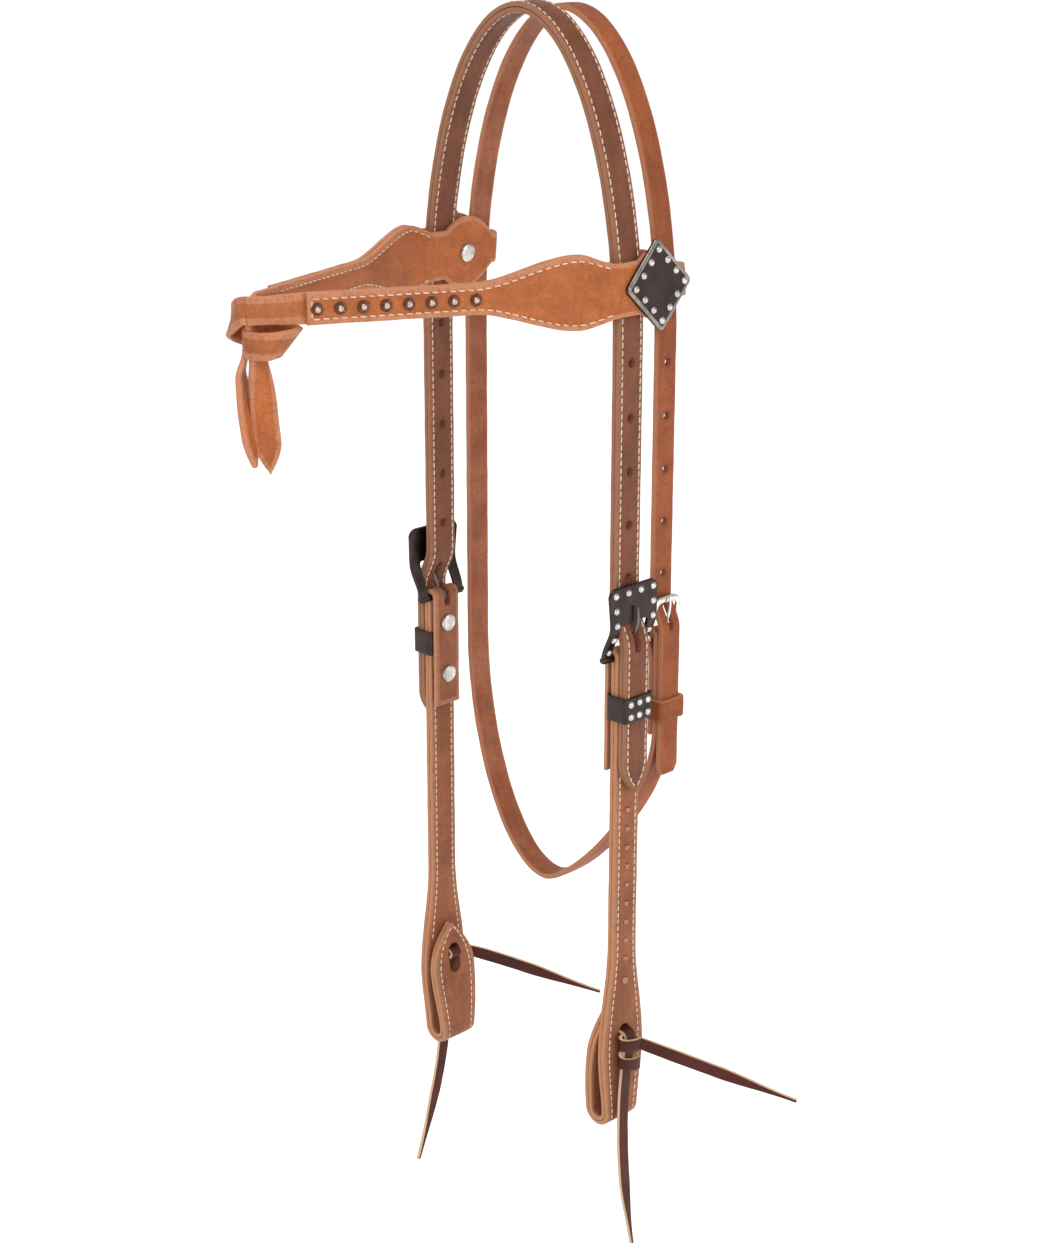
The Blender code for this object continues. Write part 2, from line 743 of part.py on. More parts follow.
def frame_outline(drop):
    """Half the plate's width at a drop, with round corners at the top."""
    share = min(max(-drop / FRAME_RISE, 0), 1)
    half = FRAME_FOOT_HALF + (FRAME_TOP_HALF - FRAME_FOOT_HALF) * share
    left = FRAME_RISE + drop
    if left < FRAME_CORNER:
        return half - FRAME_CORNER + math.sqrt(max(FRAME_CORNER ** 2 - (FRAME_CORNER - left) ** 2, 0))
    return half


def corner_drops(top, corner):
    """Drops for the stations of a round corner that ends at the top of a frame."""
    return [-top + corner * (1 - math.sin(math.pi / 2 * i / CORNER_STEPS)) for i in range(CORNER_STEPS + 1)]


def evenly(start, end, steps):
    return [start + (end - start) * i / steps for i in range(steps)]


def frame_blank(bench, name, place, drops, level, outline, plate, look):
    """The frame's plate before its opening is cut."""
    across = Vector((0, 1, 0))
    stations = [(place(level(drop), drop), across, outline(drop)) for drop in drops]
    return bench.ribbon(name, stations, plate, look)


def frame_opening(bench, name, place, half, top, foot, depth):
    """A block that cuts the opening between two drops, as wide as the strap needs."""
    bm = bmesh.new()
    size = Matrix.Diagonal((2 * depth, 2 * half, foot - top, 1))
    middle = Matrix.Translation(place(0, (top + foot) / 2))
    bmesh.ops.create_cube(bm, size=1, matrix=middle @ size)
    return bench.helper(name, bm)


def cheek_buckle(bench, name, side, look):
    """A trapezoid plate with a wide top band and two legs, joined at the foot by the heel bar."""

    def place(level, drop, along=0):
        return cheek_place(side, level, drop, along)

    drops = [BAR_RADIUS] + evenly(0, -FRAME_OPENING, EASE_STEPS)
    drops += evenly(-FRAME_OPENING, FRAME_CORNER - FRAME_RISE, 3)
    drops += corner_drops(FRAME_RISE, FRAME_CORNER)
    title = name + "_buckle_frame"
    frame = frame_blank(bench, title, place, drops, frame_level, frame_outline, FRAME_PLATE, look)
    depth = FRAME_LEVEL + FRAME_PLATE + OVERRUN
    foot = BAR_RADIUS + OVERRUN
    opening = frame_opening(bench, title + "_opening", place, OPENING_HALF, -FRAME_OPENING, foot, depth)
    bench.cut(frame, opening)
    bm = bmesh.new()
    reach = FRAME_FOOT_HALF - SEAT
    cylinder(bm, BAR_RADIUS, place(0, 0, -reach), place(0, 0, reach))
    bench.fuse(frame, bench.helper(title + "_heel_bar", bm))
    bench.fuse(frame, frame_studs(bench, title + "_studs", side))
    bench.pivot(frame, place(0, 0))


def frame_studs(bench, title, side):
    """Round studs: four across the top of the plate, and four more down each leg."""
    bm = bmesh.new()
    top = STUD_INSET - FRAME_RISE
    edge = FRAME_TOP_HALF - STUD_INSET
    places = [(top, edge * share) for share in STUD_ROW_SHARES]
    for drop in evenly(top, -STUD_FOOT, STUDS_PER_LEG)[1:] + [-STUD_FOOT]:
        edge = frame_outline(drop) - STUD_INSET + SEAT
        places += [(drop, edge), (drop, -edge)]
    for drop, along in places:
        slope = (frame_level(drop + SEAT) - frame_level(drop - SEAT)) / (2 * SEAT)
        outward = near_side(side, 1, 0, slope).normalized()
        face = cheek_place(side, frame_level(drop), drop, along) + outward * FRAME_PLATE / 2
        dome(bm, face, outward, STUD_RADIUS, STUD_HEIGHT)
    return bench.helper(title, bm)


def tongue(bench, name, look, place, route, radius, bar):
    """A buckle tongue: a ring round the heel bar, and a rod along a route of (level, drop) points."""
    centre = place(0, 0)
    ring = bar + SEAT + radius
    profile = []
    for i in range(TONGUE_SIDES):
        angle = 2 * math.pi * i / TONGUE_SIDES
        profile.append((ring + radius * math.cos(angle), radius * math.sin(angle)))
    bm = bmesh.new()
    turned(bm, centre, Vector((0, 1, 0)), profile, ROUND_STEPS, closed=True)
    made = bench.add(name, bm, look)
    curve = bpy.data.curves.new(name + "_rod", "CURVE")
    curve.dimensions = "3D"
    curve.bevel_depth = radius
    curve.bevel_resolution = 1
    curve.use_fill_caps = True
    spline = curve.splines.new("POLY")
    spline.points.add(len(route) - 1)
    for point, (level, drop) in zip(spline.points, route):
        point.co = (*place(level, drop), 1)
    spline.points[-1].radius = TONGUE_TIP_SHARE
    rod = bench.solid_of_curve(bpy.data.objects.new(name + "_rod", curve), None)
    bench.fuse(made, rod)
    bench.pivot(made, centre)


def tongue_route(ring, rest, foot, shares):
    """The (level, drop) points of a tongue from ring to tip, as shares of its rest level and length."""
    start = (ring * math.cos(TONGUE_ROOT), -ring * math.sin(TONGUE_ROOT))
    return [start] + [(rest * level, -foot * drop) for level, drop in shares]


def cheek_tongue(bench, name, side, look):
    """From the heel bar, up through the billet's slot, to rest on the face of the frame."""

    def place(level, drop):
        return cheek_place(side, level, drop)

    ring = BAR_RADIUS + SEAT + TONGUE_RADIUS
    rest = FRAME_LEVEL + FRAME_PLATE / 2 + SEAT + TONGUE_RADIUS
    route = tongue_route(ring, rest, TONGUE_LENGTH, TONGUE_SHARES)
    tongue(bench, name + "_buckle_tongue", look, place, route, TONGUE_RADIUS, BAR_RADIUS)


# Keepers

def band(bench, name, place, low, high, half, thick, height, corner, look):
    """A closed band of even thickness round a box from low to high in level, and half to each side."""
    inner = rounded_box((low, -half), (high, half), corner)
    outer = rounded_box((low - thick, -half - thick), (high + thick, half + thick), corner + thick)
    curve = flat_curve(name, (outer, inner), height / 2)
    curve.location = place
    return bench.solid_of_curve(curve, look)


def metal_keeper(bench, name, side, look):
    """A studded band round cheek strap and billet, caught between the two screws under the tab."""
    low = LINING_BACK - SEAT
    high = TAIL_LEVEL + CROWN_HALF + SEAT
    half = STRAP_WIDTH / 2 + KEEPER_SIDE_CLEARANCE
    place = cheek_place(side, 0, KEEPER_DROP)
    reach = (low, high) if side > 0 else (-high, -low)
    sizes = (half, KEEPER_BAND, KEEPER_HEIGHT, KEEPER_CORNER)
    keeper = band(bench, name + "_keeper", place, *reach, *sizes, look)
    bm = bmesh.new()
    outward = near_side(side, 1, 0, 0)
    for row in (-1, 1):
        for column in (-1, 0, 1):
            drop = KEEPER_DROP + row * KEEPER_STUD_ROW
            place = cheek_place(side, high + KEEPER_BAND, drop, column * KEEPER_STUD_COLUMN)
            dome(bm, place, outward, STUD_RADIUS, KEEPER_STUD_HEIGHT)
    bench.fuse(keeper, bench.helper(name + "_keeper_studs", bm))


# Browband

class BrowLine:
    """The middle line of one browband half in plan, from the knot back to the fold behind the throatlatch."""

    def __init__(self, side, aside):
        self.side = side
        self.x, self.lean = arch_at(BROW_DROP)
        self.knot = Vector((aside, -KNOT_REACH))
        corner = Vector((self.x, -BROW_CORNER))
        self.way = (corner - self.knot).normalized()
        self.angle = math.atan2(self.way.x, self.way.y)
        trim = BROW_BEND * math.tan(self.angle / 2)
        self.bend_start = (corner - self.knot).length - trim
        self.bend_end = self.bend_start + BROW_BEND * self.angle
        self.rear_start = trim - BROW_CORNER

    def run_at(self, y):
        """The distance from the knot to a place on the straight part at the side of the head."""
        return self.bend_end + y - self.rear_start

    def plan(self, run):
        """The point and the direction (towards the rear) at a distance from the knot."""
        if run <= self.bend_start:
            return self.knot + self.way * run, self.way
        if run >= self.bend_end:
            return Vector((self.x, self.rear_start + run - self.bend_end)), Vector((0, 1))
        turn = self.angle - (run - self.bend_start) / BROW_BEND
        way = Vector((math.sin(turn), math.cos(turn)))
        centre = Vector((self.x - BROW_BEND, self.rear_start))
        return centre + Vector((way.y, -way.x)) * BROW_BEND, way

    def frame(self, run):
        """Middle, outward, rearward and width directions at a distance from the knot, on this side."""
        point, way = self.plan(run)
        lean = math.atan(self.lean) * ease((run - BROW_PARTING) / (BROW_PARTED - BROW_PARTING))
        height = KNOT_RISE * max(1 - run / NECK_AT, 0) - BROW_DROP
        middle = near_side(self.side, point.x, point.y, height)
        rear = near_side(self.side, way.x, way.y, 0)
        wide = near_side(self.side, -math.sin(lean), 0, math.cos(lean))
        outward = near_side(self.side, way.y * math.cos(lean), -way.x, way.y * math.sin(lean)).normalized()
        return middle, outward, rear, wide

    def level(self, run):
        """How far each ply lies from the middle: further where the straps run between the two."""
        apart = ease((run - BROW_PARTING) / (BROW_PARTED - BROW_PARTING))
        return BROW_PLY_LEVEL + (BROW_RUN_LEVEL - BROW_PLY_LEVEL) * apart

    def half(self, run):
        """Half the strap's height: narrow, a first lobe, a neck, a round lobe under the concho and a tab."""
        if run <= WIDE_AT:
            share = ease((run - NARROW_END) / (WIDE_AT - NARROW_END))
            return (BROW_NARROW + (BROW_WIDE - BROW_NARROW) * share) / 2
        neck = (BROW_WIDE + (BROW_NECK - BROW_WIDE) * ease((run - WIDE_AT) / (NECK_AT - WIDE_AT))) / 2
        away = abs(run - self.run_at(CONCHO_AT))
        lobe = math.sqrt(max(LOBE_RADIUS ** 2 - away ** 2, 0))
        return max(lobe, neck if run < self.run_at(CONCHO_AT) else BROW_TAB / 2)

    def station(self, run, ply):
        """A station on the outer (1) or inner (-1) ply."""
        middle, outward, _, wide = self.frame(run)
        return middle + outward * self.level(run) * ply, wide, self.half(run)


def brow_stations(brow, start):
    """The outer ply from its end near the knot, round the fold, and the inner ply forward to start."""
    fold = brow.run_at(BROW_FOLD)
    runs = evenly(OVERLAY_END, NARROW_END, 3) + evenly(NARROW_END, WIDE_AT, 8) + evenly(WIDE_AT, NECK_AT, 5)
    runs += evenly(NECK_AT, brow.run_at(CONCHO_AT - LOBE_RADIUS), 2)
    lobe = brow.run_at(CONCHO_AT)
    for i in range(LOBE_STEPS + 1):
        away = -LOBE_RADIUS * math.cos(math.pi * i / LOBE_STEPS)
        if lobe + away > runs[-1] + MERGE and lobe + away < fold - BROW_RUN_LEVEL:
            runs.append(lobe + away)
    stations = [brow.station(run, 1) for run in runs]
    middle, outward, rear, wide = brow.frame(fold)
    for i in range(FOLD_STEPS + 1):
        angle = math.pi * i / FOLD_STEPS
        way = outward * math.cos(angle) + rear * math.sin(angle)
        stations.append((middle + way * BROW_RUN_LEVEL, wide, BROW_TAB / 2))
    back = [brow.station(run, -1) for run in reversed(runs)]
    return stations + back[:-1] + [brow.station(start, -1)]


def bend_down(stations, way):
    """Carries a strap on from its last station: turned down within its own plane."""
    start, _, half = stations[-1]
    for i in range(1, FOLD_STEPS + 1):
        angle = math.pi / 2 * i / FOLD_STEPS
        centre = start + way * TAIL_BEND * math.sin(angle) - UP * TAIL_BEND * (1 - math.cos(angle))
        stations.append((centre, UP * math.cos(angle) + way * math.sin(angle), half))


def hang_tail(stations, low, turn, top, foot):
    """Carries a strap straight down to a height, turning it about its length, to a pointed end."""
    start, wide, half = stations[-1]
    length = start.z - low
    shoulder = length - TAIL_POINT
    for run in evenly(0, shoulder, TAIL_STEPS)[1:] + evenly(shoulder, length, TIP_STEPS) + [length]:
        drop = KNOT_LEVEL - start.z + run
        angle = turn * ease((drop - top) / (foot - top))
        across = Matrix.Rotation(angle, 3, "Z") @ wide
        stations.append((start - UP * run, across, pointed(half, length - run, TAIL_POINT)))


def browband_half(bench, name, brow, stations, look):
    strap = bench.ribbon(name + "_browband", stations, BROW_PLY, look)
    bm = bmesh.new()
    middle, outward, _, _ = brow.frame(brow.run_at(CONCHO_AT))
    reach = outward * (BROW_RUN_LEVEL + OVERRUN)
    cylinder(bm, POST_RADIUS + SEAT, middle - reach, middle + reach)
    for i in range(BROW_SPOT_COUNT):
        middle, outward, _, _ = brow.frame(BROW_SPOT_START + i * BROW_SPOT_SPACING)
        cylinder(bm, BROW_SPOT_POST + SEAT, middle, middle + outward * OVERRUN, HOLE_SIDES)
    bench.cut(strap, bench.helper(name + "_browband_holes", bm))


def wrapped_stations(near, far):
    """The near half: its inner ply is wound one and a half times round the far tail, then hangs as a tail."""
    stations = brow_stations(near, WRAP_FROM)
    centre = far.station(TAIL_AT, -1)[0]
    half = BROW_NARROW / 2
    for i in range(WRAP_STEPS + 1):
        angle = WRAP_START + (WRAP_END - WRAP_START) * i / WRAP_STEPS
        out = WRAP_STEP * ease((angle - WRAP_OUTWARD) / (WRAP_OUTER - WRAP_OUTWARD))
        drop = WRAP_DROP * ease((angle - WRAP_START) / (WRAP_UNDER - WRAP_START))
        x = centre.x + (WRAP_SIDE + out) * math.cos(angle)
        y = centre.y - (WRAP_FRONT + out) * math.sin(angle)
        stations.append((Vector((x, y, KNOT_LEVEL - drop)), UP, half))
    along = stations[-1][0] - stations[-2][0]
    bend_down(stations, along.normalized())
    hang_tail(stations, KNOT_LEVEL - BROW_TAIL, 0, 0, BROW_TAIL)
    return stations


def straight_stations(far):
    """The far half: its inner ply turns down in the middle of the knot and hangs as the other tail."""
    start = TAIL_AT + TAIL_BEND
    stations = brow_stations(far, start)
    _, way = far.plan(start)
    bend_down(stations, near_side(far.side, -way.x, -way.y, 0))
    hang_tail(stations, KNOT_LEVEL - BROW_TAIL, -TAIL_TURN, TAIL_TURN_START, TAIL_TURN_END)
    return stations


def browband_spots(bench, name, brow, look):
    """Round spots along the stitched overlay, each with a short post into the outer ply."""
    under = BROW_PLY / 2 + SEAT
    rim = under + BROW_SPOT_RIM_DEPTH
    profile = (
        (0, -BROW_PLY / 2 + SEAT), (BROW_SPOT_POST, -BROW_PLY / 2 + SEAT), (BROW_SPOT_POST, under),
        (BROW_SPOT_RIM, under), (BROW_SPOT_RIM, rim), (BROW_SPOT_DOME, rim),
        (BROW_SPOT_CROWN, under + BROW_SPOT_SHOULDER), (0, under + BROW_SPOT_HEIGHT),
    )
    for i in range(BROW_SPOT_COUNT):
        middle, outward, _, _ = brow.frame(BROW_SPOT_START + i * BROW_SPOT_SPACING)
        bm = bmesh.new()
        turned(bm, middle + outward * BROW_PLY_LEVEL, outward, profile, SPOT_SIDES)
        bench.add(name + "_browband_spot_" + str(i + 1), bm, look)


# Conchos

def concho(bench, name, brow, plate_look, screw_look):
    """A square plate on its corner, with domed studs, a hollow post through both plies and a screw inside."""
    middle, outward, rear, wide = brow.frame(brow.run_at(CONCHO_AT))
    base = BROW_RUN_LEVEL + BROW_PLY / 2 + SEAT
    side = CONCHO_SIDE / 2
    outline = rounded_box((-side, -side), (side, side), CONCHO_CORNER)
    curve = flat_curve(name + "_concho", (outline,), CONCHO_PLATE / 2)
    turn = Matrix.Rotation(math.radians(45), 4, "Z")
    basis = Matrix((rear, outward.cross(rear), outward)).transposed().to_4x4()
    place = Matrix.Translation(middle + outward * (base + CONCHO_PLATE / 2)) @ basis @ turn
    curve.matrix_world = place
    plate = bench.solid_of_curve(curve, plate_look)
    edge = plate.modifiers.new("rim", "BEVEL")
    edge.width = CONCHO_RIM
    edge.segments = 1
    edge.limit_method = "ANGLE"
    bm = bmesh.new()
    inside = middle - outward * CONCHO_POST_END
    cylinder(bm, POST_RADIUS, inside, middle + outward * (base + CONCHO_PLATE / 2))
    bench.fuse(plate, bench.helper(name + "_concho_post", bm))
    bm = bmesh.new()
    corners = [(1, 0), (0, 1), (-1, 0), (0, -1)]
    for (a, b), (c, d) in zip(corners, corners[1:] + corners[:1]):
        for share in evenly(0, 1, CONCHO_STUDS_PER_EDGE - 1):
            along = (a + (c - a) * share) * CONCHO_STUD_REACH
            up = (b + (d - b) * share) * CONCHO_STUD_REACH
            face = middle + rear * along + wide * up + outward * (base + CONCHO_PLATE)
            dome(bm, face, outward, STUD_RADIUS, STUD_HEIGHT)
    bench.fuse(plate, bench.helper(name + "_concho_studs", bm))
    bm = bmesh.new()
    cylinder(bm, POST_BORE, middle - outward * (base + OVERRUN), middle + outward * base)
    bench.cut(plate, bench.helper(name + "_concho_bore", bm))
    back = -base - CONCHO_SCREW_DEPTH
    profile = (
        (0, back), (CONCHO_SCREW_RIM, back), (CONCHO_SCREW_HEAD, -base - SEAT), (CONCHO_SCREW_HEAD, -base),
        (POST_BORE - SEAT, -base), (POST_BORE - SEAT, base / 2), (0, base / 2),
    )
    bm = bmesh.new()
    turned(bm, middle, outward, profile, ROUND_STEPS)
    bench.add(name + "_concho_screw", bm, screw_look)


# Throatlatch

def throat_place(level, drop, along=0):
    """A world point from a level, a drop below the throatlatch's heel bar and a place across the strap."""
    return Vector((HALF_SPAN + level, THROAT_SETBACK + along, -THROAT_HEEL_DROP - drop))


def throat_route():
    """The throatlatch's middle line: from its tail over the head, down the far side, under and back up."""
    tail = HALF_SPAN + THROAT_TAIL_LEVEL
    top = -THROAT_HEEL_DROP
    route = [(tail, top - THROAT_TAIL)]
    route += line(route[0], (tail, top - THROAT_TAIL + THROAT_TAIL_CUT), 2)
    route += line(route[-1], (tail, top + THROAT_STEP_END), 6)
    for level, z in step_over(-THROAT_TAIL_LEVEL, top + THROAT_STEP_END, top + THROAT_STEP_START):
        route.append((tail + level, z))
    near_arch = arch(THROAT_PLY / 2)
    route += [(x, z) for x, z in reversed(near_arch)]
    route += [(-x, z) for x, z in near_arch[1:]]
    far = (-HALF_SPAN, top - THROAT_FAR_END)
    low = (-THROAT_LOW_SIDE, top - THROAT_LOW)
    route += line(route[-1], far, 4)
    swing = top - THROAT_SWING
    route += bezier(far, (-HALF_SPAN, swing), (-THROAT_BELLY, low[1]), low, LOOP_STEPS)
    up = HALF_SPAN + THROAT_LEVEL
    end = (up, top - THROAT_NEAR_END)
    route += bezier(low, (THROAT_LOW_SIDE, low[1]), (up, swing), end, LOOP_STEPS)
    route += line(end, (up, top), 6)
    for i in range(1, FOLD_STEPS + 1):
        angle = math.pi * i / FOLD_STEPS
        route.append((HALF_SPAN + THROAT_LEVEL * math.cos(angle), top + THROAT_LEVEL * math.sin(angle)))
    tab = -THROAT_LEVEL
    for level, z in step_over(THROAT_LEVEL - THROAT_PLY - SEAT - tab, top, top - THROAT_TAB_JOIN):
        route.append((HALF_SPAN + tab + level, z))
    route += line(route[-1], (route[-1][0], top - THROAT_TAB), 4)
    return route


def throat_half(left):
    """Half the strap's width near its cut end, where the corners are taken off."""
    if left >= THROAT_TAIL_CUT:
        return THROAT_WIDTH / 2
    return THROAT_WIDTH / 2 * (1 - THROAT_CUT_SHARE * (1 - left / THROAT_TAIL_CUT))


def throatlatch(bench, look):
    route = throat_route()
    runs = lengths(route)
    across = Vector((0, 1, 0))
    stations = [
        (Vector((x, THROAT_SETBACK, z)), across, throat_half(run)) for (x, z), run in zip(route, runs)
    ]
    strap = bench.ribbon("throatlatch_strap", stations, THROAT_PLY, look)
    bm = bmesh.new()
    for i in range(THROAT_HOLE_COUNT):
        drop = -THROAT_HOLE_RISE - i * HOLE_SPACING
        reach = THROAT_PLY + OVERRUN
        cylinder(bm, THROAT_HOLE_RADIUS, throat_place(-reach, drop), throat_place(reach, drop), HOLE_SIDES)
    narrow = THROAT_TONGUE_SLOT / 2
    high = -THROAT_FRAME_RISE + THROAT_FRAME_RAIL + THROAT_TONGUE
    low = -THROAT_STEP_END + THROAT_TONGUE
    middle = (high + low) / 2
    outer = THROAT_TAIL_LEVEL + THROAT_PLY / 2 + OVERRUN
    slot(bm, narrow, (low - high) / 2 - narrow, throat_place(0, middle), throat_place(outer, middle), UP)
    drop = THROAT_SCREW_DROP
    inner = -THROAT_PLY - OVERRUN
    cylinder(bm, SCREW_SHANK + SEAT, throat_place(inner, drop), throat_place(THROAT_LEVEL + THROAT_PLY, drop))
    bench.cut(strap, bench.helper("throatlatch_holes", bm))
    bm = bmesh.new()
    reach = (THROAT_SLOT_TOP + THROAT_SLOT_FOOT - THROAT_TONGUE_SLOT) / 2
    middle = (THROAT_SLOT_FOOT - THROAT_SLOT_TOP) / 2
    inner = THROAT_LEVEL + THROAT_PLY / 2
    start = throat_place(-inner - OVERRUN, middle)
    slot(bm, narrow, reach, start, throat_place(inner + SEAT / 2, middle), UP)
    bench.cut(strap, bench.helper("throatlatch_fold_slot", bm))


def throat_frame_level(drop):
    return THROAT_FRAME_LEVEL * ease(-drop / (THROAT_FRAME_RISE - THROAT_FRAME_RAIL))


def throat_frame_outline(drop):
    """Half the frame's width at a drop, with large round corners at both ends."""
    left = min(THROAT_FRAME_RISE + drop, THROAT_FRAME_FOOT - drop)
    corner = THROAT_FRAME_CORNER
    if left < corner:
        return THROAT_FRAME_HALF - corner + math.sqrt(max(corner ** 2 - (corner - left) ** 2, 0))
    return THROAT_FRAME_HALF


def throat_buckle(bench, look):
    """A round-cornered frame with its heel bar across the foot."""
    foot = THROAT_FRAME_FOOT
    corner = THROAT_FRAME_CORNER
    drops = [foot - corner * (1 - math.cos(math.pi / 2 * i / CORNER_STEPS)) for i in range(CORNER_STEPS)]
    drops += evenly(foot - corner, corner - THROAT_FRAME_RISE, EASE_STEPS)
    drops += corner_drops(THROAT_FRAME_RISE, corner)
    title = "throatlatch_buckle_frame"
    outline = throat_frame_outline
    level = throat_frame_level
    frame = frame_blank(bench, title, throat_place, drops, level, outline, THROAT_FRAME_PLATE, look)
    half = THROAT_FRAME_HALF - THROAT_FRAME_RAIL
    top = THROAT_FRAME_RAIL - THROAT_FRAME_RISE
    depth = THROAT_FRAME_LEVEL + THROAT_FRAME_PLATE + OVERRUN
    opening = frame_opening(bench, title + "_opening", throat_place, half, top, foot + OVERRUN, depth)
    bench.cut(frame, opening)
    bm = bmesh.new()
    reach = THROAT_FRAME_HALF - THROAT_FRAME_RAIL / 2
    cylinder(bm, THROAT_BAR, throat_place(0, 0, -reach), throat_place(0, 0, reach))
    bench.fuse(frame, bench.helper(title + "_heel_bar", bm))
    bench.pivot(frame, throat_place(0, 0))
    ring = THROAT_BAR + SEAT + THROAT_TONGUE
    rest = THROAT_FRAME_LEVEL + THROAT_FRAME_PLATE / 2 + SEAT + THROAT_TONGUE
    route = tongue_route(ring, rest, THROAT_FRAME_RISE, THROAT_TONGUE_SHARES)
    tongue(bench, "throatlatch_buckle_tongue", look, throat_place, route, THROAT_TONGUE, THROAT_BAR)


def throat_fittings(bench, leather, metal):
    """The screw that closes the tab, and the leather keeper round both layers of strap."""
    tab = THROAT_LEVEL - THROAT_PLY - SEAT
    seat = tab - THROAT_PLY / 2 - SEAT
    back = seat - SCREW_HEAD_DEPTH
    top = THROAT_LEVEL + THROAT_PLY / 2 - SEAT
    profile = (
        (0, back), (SCREW_HEAD_RIM, back), (SCREW_HEAD, seat - SEAT), (SCREW_HEAD, seat),
        (SCREW_SHANK, seat), (SCREW_SHANK, top), (0, top),
    )
    bm = bmesh.new()
    turned(bm, throat_place(0, THROAT_SCREW_DROP), Vector((1, 0, 0)), profile, ROUND_STEPS)
    bench.add("throatlatch_screw", bm, metal)
    low = tab - THROAT_PLY / 2 - SEAT
    high = THROAT_TAIL_LEVEL + THROAT_PLY / 2 + SEAT
    half = THROAT_WIDTH / 2 + KEEPER_SIDE_CLEARANCE
    place = throat_place(0, THROAT_KEEPER_DROP)
    thick = THROAT_KEEPER_PLY
    height = THROAT_KEEPER_HEIGHT
    band(bench, "throatlatch_keeper", place, low, high, half, thick, height, KEEPER_CORNER, leather)


# Water ties

def lace_stations(points, wides):
    """Stations of a lace of even width that tapers to a narrow tip at its first point."""
    runs = [0]
    for p, q in zip(points, points[1:]):
        runs.append(runs[-1] + (q - p).length)
    stations = []
    for point, wide, run in zip(points, wides, runs):
        half = (LACE_TIP + (LACE_WIDTH - LACE_TIP) * ease(run / LACE_TAPER)) / 2
        stations.append((point, wide, half))
    return stations


def curve_points(a, b, c, d, steps):
    points = []
    for i in range(steps + 1):
        t = i / steps
        s = 1 - t
        points.append(a * (s * s * s) + b * (3 * s * s * t) + c * (3 * s * t * t) + d * (t * t * t))
    return points


def hanging_strand(side, end, bow):
    """From the tip of the hanging tail up inside the wraps, into the slot, and out again below itself."""
    across = Vector((0, 1, 0))
    top = cheek_place(side, TIE_AXIS, TIE_BEND_DROP + TIE_BEND)
    tip = cheek_place(side, TIE_AXIS, TIE_DROP) + near_side(side, *end)
    pull = UP * (top - tip).length / 3
    aside = near_side(side, *bow)
    points = curve_points(tip, tip + pull + aside, top - pull + aside, top, TAIL_STEPS + TIP_STEPS)
    for i in range(1, CORNER_STEPS + 1):
        angle = math.pi / 2 * i / CORNER_STEPS
        level = TIE_AXIS - TIE_BEND * (1 - math.cos(angle))
        points.append(cheek_place(side, level, TIE_BEND_DROP + TIE_BEND * (1 - math.sin(angle))))
    for i in range(FOLD_STEPS + 1):
        angle = math.pi * i / FOLD_STEPS
        level = TIE_INNER - TIE_TURN * math.sin(angle)
        points.append(cheek_place(side, level, TIE_BEND_DROP + TIE_TURN * (1 - math.cos(angle))))
    points.append(cheek_place(side, TIE_AXIS - TIE_DEPTH, TIE_DROP))
    return lace_stations(points, [across] * len(points))


def wrapped_strand(side, end, away, share):
    """From the tip of the side tail to the back of the wraps, and twice round the hanging strand."""
    start = cheek_place(side, TIE_AXIS - TIE_DEPTH, TIE_DROP)
    tip = start + near_side(side, *end)
    leave = start + near_side(side, *away)
    way = tip - leave
    pull = near_side(side, *away).normalized() * way.length * share
    points = curve_points(tip, tip - way * TIE_PULL_SHARE, leave + pull, leave, TAIL_STEPS + TIP_STEPS)
    points += [leave + (start - leave) * share for share in evenly(0, 1, 3)[1:]]
    for i in range(2 * TIE_TURN_STEPS + 1):
        angle = 2 * math.pi * i / TIE_TURN_STEPS
        level = TIE_AXIS - TIE_DEPTH * math.cos(angle)
        drop = TIE_DROP + TIE_PITCH * ease(i / TIE_TURN_STEPS / 2) * 2
        points.append(cheek_place(side, level, drop, -TIE_REACH_HALF * math.sin(angle)))
    wides = []
    for i in range(len(points)):
        along = (points[min(i + 1, len(points) - 1)] - points[max(i - 1, 0)]).normalized()
        upright = (UP - along * UP.dot(along)).normalized()
        wides.append(upright.lerp(UP, ease((i - TAIL_STEPS) / TIP_STEPS)).normalized())
    return lace_stations(points, wides)


def water_tie(bench, name, side, hanging, swinging, look):
    title = name + "_water_tie"
    tie = bench.ribbon(title, hanging_strand(side, *hanging), LACE_PLY, look)
    wraps = bench.ribbon(title + "_wraps", wrapped_strand(side, *swinging), LACE_PLY, None)
    bench.fuse(tie, wraps)


